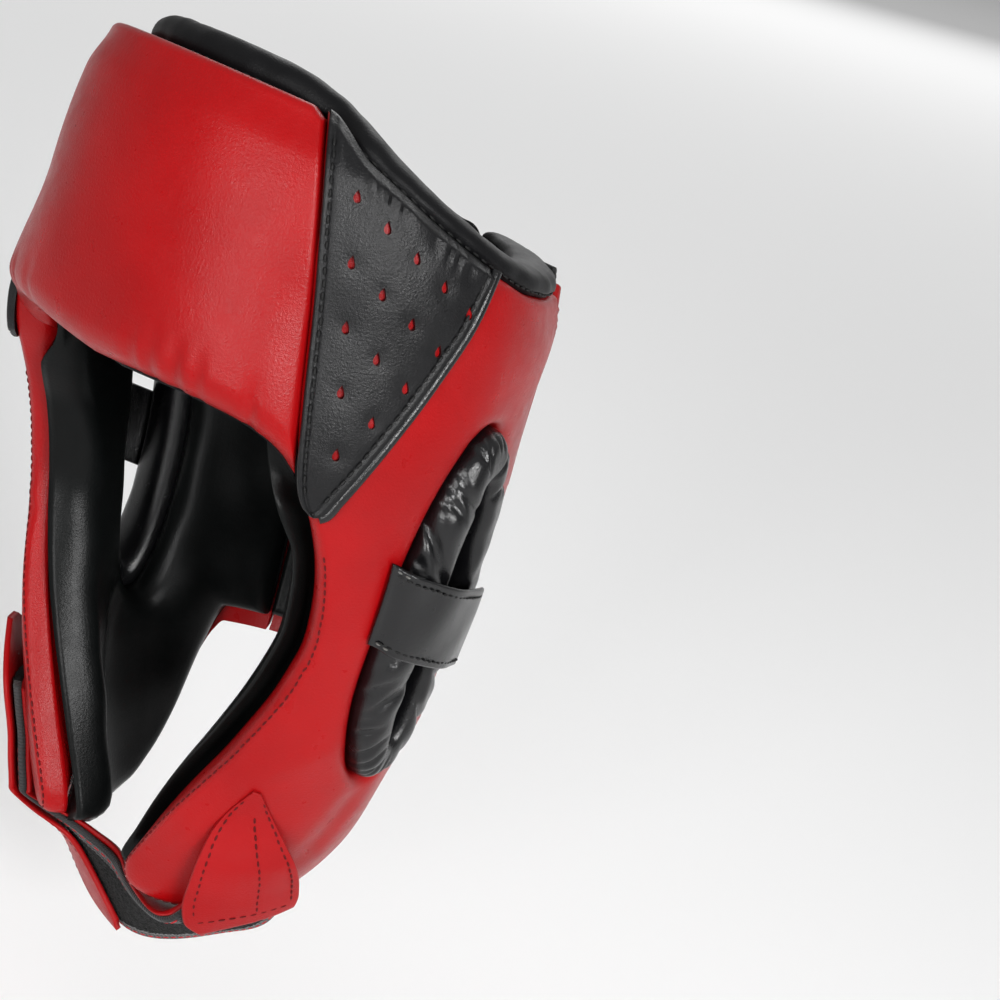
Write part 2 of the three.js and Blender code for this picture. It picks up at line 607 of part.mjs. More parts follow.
const right = point(-90, 34, inside);
const frontBack = [sewn(0, 34, inside), sewn(0, 24, inside),
  ...[0.06, 0.2, 0.4, 0.6, 0.8, 0.94].map((share) => (
    longRung(front, back, share, mix(-17, -47, share) - 5.8 * Math.sin(Math.PI * share)))),
  sewnBehind(30), sewnBehind(42)];
band("crown_strap_long", WEB, frontBack, CROWN_WIDE, WEB_THICK, 0, 2);
const sideways = [sewn(-90, 52, inside - 0.6), sewn(-90, 42, inside - 0.6),
  ...[0.05, 0.2, 0.4, 0.6, 0.8, 0.95].map((share) => (
    crossRung(right, left, share, -HEAD_TOP + 1.6 - 1.6 * Math.sin(Math.PI * share)))),
  sewn(90, 42, inside - 0.6), sewn(90, 52, inside - 0.6)];
band("crown_strap_cross", WEB, sideways, CROWN_WIDE, WEB_THICK, 0, 2);

export default group;
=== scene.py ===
# %% [markdown]
# # A padded head guard, dressed in red and black leather
# The guard is a soft helmet: foam pads in leather covers, sewn together round an open face. This lesson
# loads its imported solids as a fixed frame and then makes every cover, lining, strap and stitch anew.

# %% Load the frame
import math

import bpy
import numpy as np
from mathutils import Matrix, Vector


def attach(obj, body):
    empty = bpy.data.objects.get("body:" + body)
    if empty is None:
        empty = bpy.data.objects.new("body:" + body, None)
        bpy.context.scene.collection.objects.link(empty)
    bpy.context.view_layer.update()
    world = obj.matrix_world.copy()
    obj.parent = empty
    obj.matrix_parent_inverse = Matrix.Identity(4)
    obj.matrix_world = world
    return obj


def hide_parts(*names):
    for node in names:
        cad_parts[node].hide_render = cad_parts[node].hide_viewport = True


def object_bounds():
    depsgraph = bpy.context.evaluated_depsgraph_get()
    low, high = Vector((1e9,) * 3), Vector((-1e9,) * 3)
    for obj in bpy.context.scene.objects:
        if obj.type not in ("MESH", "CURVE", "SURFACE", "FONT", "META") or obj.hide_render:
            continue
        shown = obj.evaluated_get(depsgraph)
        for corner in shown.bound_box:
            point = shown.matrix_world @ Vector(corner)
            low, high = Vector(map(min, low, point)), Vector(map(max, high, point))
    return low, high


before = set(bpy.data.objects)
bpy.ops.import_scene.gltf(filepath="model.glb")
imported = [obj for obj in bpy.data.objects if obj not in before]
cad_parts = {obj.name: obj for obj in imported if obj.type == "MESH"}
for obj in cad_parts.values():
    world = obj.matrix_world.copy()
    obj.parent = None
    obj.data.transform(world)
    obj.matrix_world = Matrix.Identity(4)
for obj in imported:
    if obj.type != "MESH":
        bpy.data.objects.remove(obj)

cad_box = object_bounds()
print("nodes in the frame:", len(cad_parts))

# %% [markdown]
# ## The form that the leather is laid on
# A maker stretches the covers over a head-shaped last. Here the last is a table of tilted ovals, from the
# front rim down to the chin. A place on it has three pattern measures: theta, the angle round the head from
# the face towards the wearer's left ear, v, the millimetres down the wall, and h, the millimetres out of it.
# One table and one formula keep all the pieces on the same curve, which no set of loose spheres would do.

# %% Curves through a table
def ease(low, high, x):
    """Smooth step from 0 at low to 1 at high."""
    t = np.clip((np.asarray(x, float) - low) / (high - low), 0, 1)
    return t * t * (3 - 2 * t)


def mix(a, b, t):
    return a + (b - a) * t


def bell(x, middle, wide):
    """1 at the middle, falling off on both sides."""
    return np.exp(-(((x - middle) / wide) ** 2))


def smooth_table(rows, column):
    """Curve through a table's column that never overshoots its rows."""
    rows = np.array(rows, float)
    x, y = rows[:, 0], rows[:, column]
    step = np.diff(x)
    rise = np.diff(y) / step
    slope = np.concatenate([[rise[0]], np.zeros(len(x) - 2), [rise[-1]]])
    for i in range(1, len(x) - 1):
        if rise[i - 1] * rise[i] > 0:
            a = 2 * step[i] + step[i - 1]
            b = step[i] + 2 * step[i - 1]
            slope[i] = (a + b) / (a / rise[i - 1] + b / rise[i])

    def curve(at):
        at = np.clip(np.asarray(at, float), x[0], x[-1])
        i = np.clip(np.searchsorted(x, at, side="left") - 1, 0, len(x) - 2)
        t = (at - x[i]) / step[i]
        start = (2 * t**3 - 3 * t**2 + 1) * y[i] + (t**3 - 2 * t**2 + t) * step[i] * slope[i]
        return start + (3 * t**2 - 2 * t**3) * y[i + 1] + (t**3 - t**2) * step[i] * slope[i + 1]

    return curve


def columns_of(rows):
    """Curves through all the columns of a table after its first."""
    return [smooth_table(rows, column) for column in range(1, len(rows[0]))]


print("half of a smooth step:", ease(0, 1, 0.5))

# %% The form table
FORM = [
    # v, height, centre, half, front, back, tilt, fold in front, fold behind, pinch
    [-12, -6, 0, 61, 65, 57, 15, 2.1, 2.1, 0],
    [0, -18, 0, 64, 68, 60, 15, 2.1, 2.1, 0],
    [14, -31, 0, 72, 73, 67, 15, 2.1, 2.1, 0.05],
    [42, -57, 1, 77, 76, 70, 13, 2.1, 2.1, 0.11],
    [85, -98, 3, 77, 79, 71, 10, 2.4, 2.1, 0.18],
    [130, -141, 5, 73, 71, 67, 7, 2.5, 2.2, 0.2],
    [175, -184, 5, 67, 61, 63, 4, 2.4, 2.2, 0.2],
    [215, -223, 2, 56, 51, 52, 2, 2.3, 2.2, 0.15],
    [250, -257, -5, 39, 40, 37, 0, 2.2, 2.2, 0.08],
    [280, -287, -12, 18, 22, 22, 0, 2.1, 2.1, 0],
]
HEAD_TOP = 41.8
PINCH_FROM, PINCH_TO = -16, 44
TEMPLE_PRESS, TEMPLE_AT, TEMPLE_WIDE, SIDE_PRESS = 2.2, 44, 22, 4.6
MM = 0.001
form_columns = columns_of(FORM)


def pressed(theta, v):
    """The right temple is pressed in a little, as on a guard that has been packed flat."""
    rightward = (180 - theta) % 360 - 180
    temple = TEMPLE_PRESS * bell(rightward, TEMPLE_AT, TEMPLE_WIDE) * ease(-14, 14, v) * (1 - ease(44, 84, v))
    side = SIDE_PRESS * ease(36, 42, rightward) * (1 - ease(70, 105, rightward)) * (1 - ease(45, 85, v))
    return temple + side


def on_form(theta, v, h):
    """Points of the form in millimetres, for arrays of theta in degrees, v and h."""
    theta, v, h = np.broadcast_arrays(*(np.asarray(x, float) for x in (theta, v, h)))
    h = h - pressed(theta, v)
    height, centre, half, front, back, tilt, fold_front, fold_back, pinch = (c(v) for c in form_columns)
    s, c = np.sin(np.radians(theta)), np.cos(np.radians(theta))
    fold = np.where(c > 0, fold_front, fold_back)
    reach = np.where(c > 0, front, back) + h
    r = (np.abs(s / (half + h)) ** fold + np.abs(c / reach) ** fold) ** (-1 / fold)
    along = -r * c
    lean = np.radians(tilt)
    narrow = 1 - pinch * ease(PINCH_FROM, PINCH_TO, along)
    return np.stack([r * s * narrow, centre + along * np.cos(lean),
                     height + HEAD_TOP - along * np.sin(lean)], -1)


def unit(a):
    return a / np.maximum(np.linalg.norm(a, axis=-1, keepdims=True), 1e-9)


def out_of_form(theta, v):
    """Unit direction out of the form's wall."""
    round_way = on_form(theta + 0.5, v, 0) - on_form(theta - 0.5, v, 0)
    down_way = on_form(theta, v + 0.5, 0) - on_form(theta, v - 0.5, 0)
    return unit(np.cross(down_way, round_way))


def per_degree(theta, v):
    """Millimetres round the wall for one degree of theta."""
    return np.linalg.norm(on_form(theta + 1, v, 0) - on_form(theta - 1, v, 0), axis=-1) / 2


print("brow point, mm:", np.round(on_form(0, 80, 0), 1))

# %% [markdown]
# ## Camera, floor and light
# The guard is shown from its left front, a little above, leaning over as it was held. A large pale floor and
# soft boxes give the broad highlights that semi-gloss leather needs; a small bright lamp would make hard
# spots. The camera is aimed beside the guard, so that the picture needs no lens shift.

# %% Camera
VIEW_AZIMUTH, VIEW_ELEVATION, VIEW_ROLL = 43.4, 21.0, 12.4
VIEW_DISTANCE = 0.525
FOCAL = 1.759
TARGET = Vector((0, 0, -0.0782))
TARGET_PIXEL = (269.2, 462.5)
SENSOR = 36
PICTURE = 1000

azimuth, elevation, roll = (math.radians(a) for a in (VIEW_AZIMUTH, VIEW_ELEVATION, VIEW_ROLL))
back = Vector((math.sin(azimuth) * math.cos(elevation), -math.cos(azimuth) * math.cos(elevation),
               math.sin(elevation)))
level = Vector((math.cos(azimuth), math.sin(azimuth), 0))
right = math.cos(roll) * level + math.sin(roll) * back.cross(level)
upright = Matrix((right, back.cross(right), back)).transposed()
toward = Vector(((TARGET_PIXEL[0] / PICTURE - 0.5) / FOCAL, (0.5 - TARGET_PIXEL[1] / PICTURE) / FOCAL, -1))
aim = toward.rotation_difference(Vector((0, 0, -1))).to_matrix()
camera_data = bpy.data.cameras.new("view")
camera_data.lens = FOCAL * SENSOR
camera_data.sensor_width = SENSOR
camera_data.clip_start, camera_data.clip_end = 0.02, 40
camera = bpy.data.objects.new("view", camera_data)
bpy.context.scene.collection.objects.link(camera)
camera.matrix_world = Matrix.Translation(TARGET + back * VIEW_DISTANCE) @ (upright @ aim).to_4x4()
bpy.context.scene.camera = camera
print("camera at", [round(x, 3) for x in camera.location])

# %% Floor and light
FLOOR_DROP, FLOOR_SIZE, FLOOR_TONE = 0.05, 40, 0.94
ROOM_LIGHT = 0.38
TIGHT = 70


def deselect():
    if bpy.context.object and bpy.context.object.mode != "OBJECT":
        bpy.ops.object.mode_set(mode="OBJECT")
    bpy.ops.object.select_all(action="DESELECT")


def softbox(name, place, size, power, spread=180):
    """Square area lamp that looks at the guard; a small spread keeps its light off the floor."""
    deselect()
    bpy.ops.object.light_add(type="AREA", location=place)
    lamp = bpy.context.object
    lamp.name = name
    lamp.data.shape = "SQUARE"
    lamp.data.size = size
    lamp.data.energy = power
    lamp.data.spread = math.radians(spread)
    lamp.rotation_euler = (TARGET - Vector(place)).to_track_quat("-Z", "Y").to_euler()


deselect()
bpy.ops.mesh.primitive_plane_add(size=FLOOR_SIZE, location=(0, 0, cad_box[0].z - FLOOR_DROP))
floor = bpy.context.object
floor.name = "studio_floor"
floor_paint = bpy.data.materials.new("studio_paper")
floor_paint.use_nodes = True
floor_sockets = floor_paint.node_tree.nodes["Principled BSDF"].inputs
floor_sockets["Base Color"].default_value = (FLOOR_TONE, FLOOR_TONE, FLOOR_TONE, 1)
floor_sockets["Roughness"].default_value = 0.9
floor.data.materials.append(floor_paint)

softbox("key_box", (1.45, -0.62, 0.38), 0.5, 4.2, TIGHT)
softbox("front_box", (0.47, -1.53, 0.12), 0.5, 2.2, TIGHT)
softbox("sky_box", (0, 0, 7), 24, 330)
softbox("rear_box", (-3.6, 6.3, 4.2), 4.8, 180)

world = bpy.data.worlds.new("pale_room")
world.use_nodes = True
world.node_tree.nodes["Background"].inputs["Color"].default_value = (1, 1, 1, 1)
world.node_tree.nodes["Background"].inputs["Strength"].default_value = ROOM_LIGHT
bpy.context.scene.world = world
bpy.context.scene.view_settings.view_transform = "Standard"
print("floor and lights are set")

# %% [markdown]
# ## Finishes
# Leather is never one flat colour. Its pores make fine grain, handling leaves it duller in some places, and
# thin folds catch light. Grain and handling are used by every leather here, so each is a node group, built
# once and placed in each material with its own values. A painted picture could do it too, but a procedural
# grain follows the object's own coordinates and stays sharp at any distance.

# %% Node helpers
def put(tree, value, socket):
    """Sets a socket to a number, or links an output to it."""
    if isinstance(value, bpy.types.NodeSocket):
        tree.links.new(value, socket)
    else:
        socket.default_value = value


def node(tree, kind, **values):
    """New shader node with its plain settings and socket values."""
    made = tree.nodes.new(kind)
    for name, value in values.items():
        if hasattr(made, name):
            setattr(made, name, value)
        else:
            put(tree, value, made.inputs[name.replace("_", " ").title()])
    return made


def worked(tree, operation, *values):
    """Result of one Math node on numbers or outputs."""
    made = node(tree, "ShaderNodeMath", operation=operation)
    for socket, value in zip(made.inputs, values):
        put(tree, value, socket)
    return made.outputs[0]


def cloud(tree, place, scale, detail):
    """Noise texture at a place."""
    return node(tree, "ShaderNodeTexNoise", vector=place, scale=scale, detail=detail)


def stretch(tree, value, old, new=(0.0, 1.0)):
    """Value moved from one range to another."""
    made = node(tree, "ShaderNodeMapRange", from_min=old[0], from_max=old[1], to_min=new[0], to_max=new[1])
    put(tree, value, made.inputs["Value"])
    return made.outputs[0]


def group(name, inputs, outputs):
    """Empty shader node group: its tree, what it is given and what it puts out."""
    tree = bpy.data.node_groups.new(name, "ShaderNodeTree")
    for socket, value in inputs.items():
        kind = "NodeSocketVector" if value is None else "NodeSocketFloat"
        made = tree.interface.new_socket(socket, in_out="INPUT", socket_type=kind)
        if value is not None:
            made.default_value = value
    for socket in outputs:
        tree.interface.new_socket(socket, in_out="OUTPUT", socket_type="NodeSocketFloat")
    return tree, tree.nodes.new("NodeGroupInput").outputs, tree.nodes.new("NodeGroupOutput").inputs


print("node helpers are ready")

# %% Grain and handling groups
GRAIN_WARP, GRAIN_FLOOR, GRAIN_DIP = 0.00016, 0.55, -0.8


def grain_group():
    """Pebbled pores: cells warped by noise, with finer noise on top."""
    tree, given, out = group("leather_grain", {"Place": None, "Cells": 900.0, "Fine": 3200.0}, ["Height"])
    push = node(tree, "ShaderNodeVectorMath", operation="SCALE", scale=GRAIN_WARP)
    put(tree, cloud(tree, given["Place"], given["Cells"], 2.0).outputs["Color"], push.inputs[0])
    moved = node(tree, "ShaderNodeVectorMath", operation="ADD")
    put(tree, given["Place"], moved.inputs[0])
    put(tree, push.outputs[0], moved.inputs[1])
    cells = node(tree, "ShaderNodeTexVoronoi", feature="F1", randomness=0.7, scale=given["Cells"],
                 vector=moved.outputs[0])
    shallow = worked(tree, "MINIMUM", cells.outputs["Distance"], GRAIN_FLOOR)
    fine = cloud(tree, given["Place"], given["Fine"], 3.0).outputs[0]
    put(tree, worked(tree, "MULTIPLY_ADD", shallow, GRAIN_DIP, fine), out["Height"])
    return tree


def handling_group():
    """Slow patches of wear: a broad mask for colour and a mottled one for gloss."""
    tree, given, out = group("handling", {"Place": None, "Broad": 28.0, "Mottle": 210.0}, ["Tone", "Gloss"])
    for scale, result, detail in (("Broad", "Tone", 4.0), ("Mottle", "Gloss", 3.0)):
        put(tree, cloud(tree, given["Place"], given[scale], detail).outputs[0], out[result])
    return tree


GRAIN = grain_group()
HANDLING = handling_group()
print("groups:", [tree.name for tree in bpy.data.node_groups])

# %% Leathers
MIDDLE = (0.3, 0.7)
FINE_GRAIN = 3.5
GRAIN_REACH = 0.0006


def new_finish(name):
    """New material, with its node tree and its shader's sockets."""
    made = bpy.data.materials.new(name)
    made.use_nodes = True
    return made, made.node_tree, made.node_tree.nodes["Principled BSDF"].inputs


def two_tones(tree, sockets, dark, light, share):
    """Base colour that goes from a dark tone to a light one."""
    tone = node(tree, "ShaderNodeMix", data_type="RGBA")
    tone.inputs[6].default_value = (*dark, 1)
    tone.inputs[7].default_value = (*light, 1)
    put(tree, share, tone.inputs[0])
    put(tree, tone.outputs[2], sockets["Base Color"])


def relief(tree, sockets, height, strength, reach):
    bump = node(tree, "ShaderNodeBump", strength=strength, distance=reach)
    put(tree, height, bump.inputs["Height"])
    put(tree, bump.outputs[0], sockets["Normal"])


def object_place(tree):
    return node(tree, "ShaderNodeTexCoord").outputs["Object"]


def leather(name, dark, light, gloss, cells, depth, specular):
    """Grained leather between two tones, with roughness from gloss[0] to gloss[1]."""
    made, tree, sockets = new_finish(name)
    place = object_place(tree)
    pores = node(tree, "ShaderNodeGroup", node_tree=GRAIN)
    worn = node(tree, "ShaderNodeGroup", node_tree=HANDLING)
    for part, socket, value in ((pores, "Place", place), (worn, "Place", place), (pores, "Cells", cells),
                                (pores, "Fine", cells * FINE_GRAIN)):
        put(tree, value, part.inputs[socket])
    two_tones(tree, sockets, dark, light, stretch(tree, worn.outputs["Tone"], MIDDLE))
    put(tree, stretch(tree, worn.outputs["Gloss"], MIDDLE, gloss), sockets["Roughness"])
    relief(tree, sockets, pores.outputs["Height"], depth, GRAIN_REACH)
    sockets["Specular IOR Level"].default_value = specular
    return made


RED_LEATHER = leather("red_cover_leather", (0.225, 0.0012, 0.002), (0.285, 0.002, 0.003), (0.27, 0.38),
                      cells=950.0, depth=0.2, specular=0.18)
RED_STRAP = leather("red_strap_leather", (0.22, 0.0017, 0.0026), (0.275, 0.0026, 0.0038), (0.34, 0.46),
                    cells=1300.0, depth=0.22, specular=0.15)
BLACK_LEATHER = leather("black_patch_leather", (0.003, 0.003, 0.0034), (0.006, 0.006, 0.0066), (0.27, 0.38),
                        cells=1000.0, depth=0.26, specular=0.24)
SHINY_BLACK = leather("black_cushion_leather", (0.002, 0.002, 0.0024), (0.004, 0.004, 0.0045), (0.18, 0.28),
                      cells=1100.0, depth=0.16, specular=0.42)
RIM_LEATHER = leather("black_rim_leather", (0.002, 0.002, 0.0024), (0.005, 0.005, 0.0055), (0.36, 0.48),
                      cells=1200.0, depth=0.2, specular=0.12)
LINING_LEATHER = leather("black_lining_leather", (0.0014, 0.0017, 0.0017), (0.0035, 0.004, 0.004),
                         (0.29, 0.34), cells=900.0, depth=0.12, specular=0.12)
print("finishes made:", len(bpy.data.materials))

# %% [markdown]
# ## Tape, pile and thread
# Webbing is woven: cords cross over and under each other, a little coarser along than across. The loop side
# of a hook-and-loop strap is a felt of tiny nylon loops, so it is almost matt, with a faint sheen at grazing
# angles. Threads are small twisted cords. A brick texture could stand for the weave, but two crossed sine
# waves are closer to its cords. They read the pattern measures kept in the piece's own UV map, so the weave
# follows the tape round every bend.

# %% Cloth and thread
def weave_group():
    """Over-and-under weave from pattern measures in metres, with a mask that paints shade into the gaps
    between its cords.
    """
    inputs = {"Pattern": None, "Picks": 760.0, "Cords": 900.0}
    tree, given, out = group("tape_weave", inputs, ["Height", "Painted gap shade"])
    apart = node(tree, "ShaderNodeSeparateXYZ")
    put(tree, given["Pattern"], apart.inputs[0])
    waves = []
    for axis, count in (("X", "Picks"), ("Y", "Cords")):
        turns = worked(tree, "MULTIPLY", apart.outputs[axis], given[count])
        waves.append(worked(tree, "SINE", worked(tree, "MULTIPLY", turns, math.pi)))
    size = worked(tree, "ABSOLUTE", worked(tree, "MULTIPLY", *waves))
    put(tree, size, out["Height"])
    # Painted shade: the low gaps between the cords get a mask for a darker tone.
    put(tree, stretch(tree, size, (0.0, 0.35)), out["Painted gap shade"])
    return tree


WEAVE = weave_group()


def woven(name, dark, light, picks, cords, rough):
    """Woven tape whose gaps are painted darker than its cords: painted shade between the cords."""
    made, tree, sockets = new_finish(name)
    cloth = node(tree, "ShaderNodeGroup", node_tree=WEAVE)
    pattern = node(tree, "ShaderNodeUVMap").outputs[0]
    for socket, value in (("Pattern", pattern), ("Picks", picks), ("Cords", cords)):
        put(tree, value, cloth.inputs[socket])
    # Painted shade: the gaps between the cords take the dark tone.
    two_tones(tree, sockets, [dark] * 3, light, cloth.outputs["Painted gap shade"])
    relief(tree, sockets, cloth.outputs["Height"], 0.6, 0.0004)
    sockets["Roughness"].default_value = rough
    sockets["Sheen Weight"].default_value = 0.15
    return made


def pile(name, dark, light):
    """Matt felt of loops, the same noise in colour and bump, so its hollows are painted darker: painted
    shade.
    """
    made, tree, sockets = new_finish(name)
    loops = cloud(tree, object_place(tree), 1500.0, 4.0).outputs[0]
    # Painted shade: where the noise dips into hollows the felt takes the dark tone, and on the raised loops
    # the light one.
    two_tones(tree, sockets, [dark] * 3, [light] * 3, stretch(tree, loops, MIDDLE))
    relief(tree, sockets, loops, 0.9, 0.0008)
    sockets["Roughness"].default_value = 0.95
    sockets["Specular IOR Level"].default_value = 0.2
    sockets["Sheen Weight"].default_value = 0.03
    return made


def thread(name, dark, light):
    """Twisted sewing thread, lighter in fine random flecks that stand for light on its strands: a painted
    highlight.
    """
    made, tree, sockets = new_finish(name)
    strand_highlight = cloud(tree, object_place(tree), 2600.0, 2.0).outputs[0]
    # Painted highlight: the light tone stands for light caught on the thread's strands.
    two_tones(tree, sockets, dark, light, stretch(tree, strand_highlight, MIDDLE))
    sockets["Roughness"].default_value = 0.6
    sockets["Specular IOR Level"].default_value = 0.15
    return made


WEBBING = woven("black_webbing", 0.002, (0.020, 0.020, 0.021), 560.0, 700.0, 0.72)
EDGING = woven("edging_tape", 0.003, (0.016, 0.016, 0.017), 900.0, 1100.0, 0.8)
LOOP_PILE = pile("loop_felt", 0.001, 0.007)
RED_THREAD = thread("red_thread", (0.20, 0.004, 0.006), (0.42, 0.02, 0.025))
DARK_RED_THREAD = thread("dark_red_thread", (0.045, 0.001, 0.0016), (0.11, 0.003, 0.004))
BLACK_THREAD = thread("black_thread", (0.004, 0.004, 0.004), (0.018, 0.018, 0.018))
PALE_THREAD = thread("grey_thread", (0.05, 0.05, 0.048), (0.16, 0.16, 0.15))
print("finishes made:", len(bpy.data.materials))

# %% [markdown]
# ## Three ways to start a soft piece
# Every cover here starts as one of three primitives. A grid, extruded once, is a flat cut of leather or foam
# with two faces. A torus is a panel with a hole in it. A sphere with many rings is a roll with closed ends.
# Their vertices are then read as pattern measures and sent to their places on the form, as a cut is pulled
# over the last. It gives clean rows of quads along every seam, which a sculpted ball wouldn't.

# %% Pattern starts
TUBE = 0.25


def read_points(obj):
    points = np.zeros(len(obj.data.vertices) * 3)
    obj.data.vertices.foreach_get("co", points)
    return points.reshape(-1, 3)


def named(obj, name):
    obj.name = name
    obj.data.name = name
    return obj


def crowd(u, pull):
    """Even shares moved towards both ends, so that rolled edges get more rows."""
    return u - pull * np.sin(2 * np.pi * u) / (2 * np.pi)


def cut(name, columns, rows, pull):
    """Flat cut with two faces: the piece, s and t from 0 to 1, and which vertices are on top."""
    deselect()
    bpy.ops.mesh.primitive_grid_add(x_subdivisions=columns, y_subdivisions=rows, size=1)
    obj = named(bpy.context.object, name)
    bpy.ops.object.mode_set(mode="EDIT")
    bpy.ops.mesh.select_all(action="SELECT")
    bpy.ops.mesh.extrude_region_move(TRANSFORM_OT_translate={"value": (0, 0, -1)})
    bpy.ops.object.mode_set(mode="OBJECT")
    points = read_points(obj)
    return obj, crowd(points[:, 0] + 0.5, pull[0]), crowd(points[:, 1] + 0.5, pull[1]), points[:, 2] > -0.5


def panel_with_hole(name, around, across):
    """Torus read as a panel: share round the hole, share from hole to edge, and which face."""
    deselect()
    bpy.ops.mesh.primitive_torus_add(major_segments=around, minor_segments=across, major_radius=1,
                                     minor_radius=TUBE)
    obj = named(bpy.context.object, name)
    points = read_points(obj)
    turn = np.arctan2(points[:, 1], points[:, 0]) / (2 * np.pi) % 1
    ring = np.hypot(points[:, 0], points[:, 1]) - 1
    return obj, turn, (1 + ring / TUBE) / 2, points[:, 2] / TUBE


def roll_of(name, along, sides):
    """Sphere read as a capped roll: share along it, turn round it in radians, and which vertices are caps."""
    deselect()
    bpy.ops.mesh.primitive_uv_sphere_add(segments=sides, ring_count=along + 1, radius=1)
    obj = named(bpy.context.object, name)
    points = read_points(obj)
    ring = np.arccos(np.clip(-points[:, 2], -1, 1)) / np.pi * (along + 1)
    share = np.clip((ring - 1) / (along - 1), 0, 1)
    cap = np.hypot(points[:, 0], points[:, 1]) < 1e-4
    return obj, share, np.arctan2(points[:, 1], points[:, 0]), cap


def from_side(u):
    """Distance from the nearer of two sides."""
    return np.minimum(u, 1 - u)


def rolled(distance, radius):
    """Drop of a rolled edge of this radius at a distance in from it."""
    d = np.clip(distance / radius, 0, 1)
    return radius * (1 - np.sqrt(np.maximum(0, 1 - (1 - d) ** 2)))


print("a 3 mm roll, 1 mm in, drops", round(float(rolled(1, 3)), 2), "mm")

# %% Laying on the form
WAVES = 7


def set_points(obj, points):
    """Moves the vertices to points in millimetres, and turns the faces outwards and smooth."""
    obj.data.vertices.foreach_set("co", (np.asarray(points) * MM).astype(np.float32).ravel())
    obj.data.update()
    face_outwards(obj)


def face_outwards(obj):
    deselect()
    obj.select_set(True)
    bpy.context.view_layer.objects.active = obj
    bpy.ops.object.mode_set(mode="EDIT")
    bpy.ops.mesh.select_all(action="SELECT")
    bpy.ops.mesh.normals_make_consistent(inside=False)
    bpy.ops.object.mode_set(mode="OBJECT")
    bpy.ops.object.shade_smooth()


def built(name, verts, faces):
    """New piece from points in metres and faces."""
    mesh = bpy.data.meshes.new(name)
    mesh.from_pydata([tuple(p) for p in verts], [], faces)
    obj = bpy.data.objects.new(name, mesh)
    bpy.context.scene.collection.objects.link(obj)
    face_outwards(obj)
    return obj


def soft_noise(points, scale, seed):
    """Slow waves over the surface in every direction, from -1 to 1, for the unevenness of hand work."""
    wave = np.random.default_rng(seed)
    total = np.zeros(len(points))
    for _ in range(WAVES):
        way = unit(wave.normal(size=3)) / scale * wave.uniform(0.7, 1.6)
        total += np.sin(points @ way * 2 * np.pi + wave.uniform(0, 2 * np.pi))
    return total / 4


def lay(obj, theta, v, h, uneven, where=1):
    """Sends a piece to the form; uneven is the depth, length and seed of its waves."""
    points = on_form(theta, v, h)
    deep, wide, seed = uneven
    set_points(obj, points + out_of_form(theta, v) * (deep * soft_noise(points, wide, seed) * where)[:, None])


print("waves in the leather:", WAVES)

# %% Pattern and finish
finished = []


def keep_pattern(obj, along, across):
    """Writes the pattern measures, in metres, to the piece's UV map."""
    layer = obj.data.uv_layers.active or obj.data.uv_layers.new(name="pattern")
    corner = np.zeros(len(obj.data.loops), int)
    obj.data.loops.foreach_get("vertex_index", corner)
    pattern = np.stack([along * MM, across * MM], -1)[corner]
    layer.data.foreach_set("uv", pattern.astype(np.float32).ravel())


def finish_piece(obj, finish, nodes=()):
    """Gives a piece its finish, hides the frame parts that it stands for, and counts its triangles."""
    obj.data.materials.clear()
    obj.data.materials.append(finish)
    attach(obj, "root")
    if nodes:
        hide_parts(*nodes)
    obj.data.calc_loop_triangles()
    finished.append((obj.name, len(obj.data.loop_triangles)))
    return obj


print("pieces so far:", len(finished))

# %% [markdown]
# ## Forehead
# The forehead is a thick block of foam in one red cover. Its top edge is crisp, where the foam is cut square,
# and its brow edge is rolled under, with a few soft puckers where the leather is eased round the curve. A
# rounded box bent to the head could be its start, but a flat cut keeps its edges on the two side seams, and
# the black lining behind it is the same cut with other edges.

# %% Forehead pad
PAD, LINING, GAP = 12.0, 7.5, 0.8
SEAM = [[0, 38.8], [20, 41.6], [44, 44], [69, 45.5], [87, 46.5], [99, 50]]
BROW = [[0, 81], [0.45, 79.5], [0.7, 80.2], [0.86, 82.5], [0.95, 86], [1, 90]]
FOREHEAD_CROWN, FOREHEAD_TOP, CORNER_DROP, SEAM_ROOM = 3.4, -0.5, 2.2, 0.35
FOREHEAD_WIDE, FOREHEAD_TALL = 116, 82
SEAM_ROLL, TOP_ROLL, BROW_ROLL = 2.6, 2.2, 9.0
BROW_LINING_WIDE, BROW_LINING_TALL = 96, 74
BROW_PUCKERS = [
    # share along the brow, width, depth
    [0.12, 0.012, 1.3], [0.17, 0.010, 1.0], [0.27, 0.014, 0.8], [0.63, 0.012, 0.9],
    [0.68, 0.009, 1.5], [0.74, 0.010, 1.8], [0.79, 0.009, 1.4], [0.9, 0.012, 1.4],
]
seam_theta = smooth_table(SEAM, 1)
brow_v = smooth_table(BROW, 1)


def forehead_place(s, t, top, lower, tuck):
    """Pattern place between the two seams, from the rim to the brow."""
    share = 2 * s - 1
    v = mix(top, brow_v(np.abs(share)) + lower, t)
    return share * (seam_theta(v) - tuck), v


def forehead():
    obj, s, t, top = cut("forehead_cover", 120, 84, (0.85, 0.82))
    corner = CORNER_DROP * (1 - ease(0, 0.045, from_side(s)))
    theta, v = forehead_place(s, t, FOREHEAD_TOP + corner, 0, SEAM_ROOM)
    edge = rolled(from_side(s) * FOREHEAD_WIDE, SEAM_ROLL)
    upper = rolled(t * FOREHEAD_TALL, TOP_ROLL)
    lower = rolled((1 - t) * FOREHEAD_TALL, BROW_ROLL)
    drop = np.minimum(np.sqrt(edge**2 + upper**2 + lower**2), PAD - 1)
    bulge = FOREHEAD_CROWN * (1 - (2 * s - 1) ** 8) * ease(0.1, 0.9, t)
    h = np.where(top, bulge - drop, -PAD)
    under = ease(0.8, 0.96, t) * top
    for where, wide, deep in BROW_PUCKERS:
        h = h - deep * under * bell(s - 0.05 * (1 - t), where, wide)
    lay(obj, theta, v, h, (0.35, 42, 3), top)
    finish_piece(obj, RED_LEATHER, ["forehead_pad"])


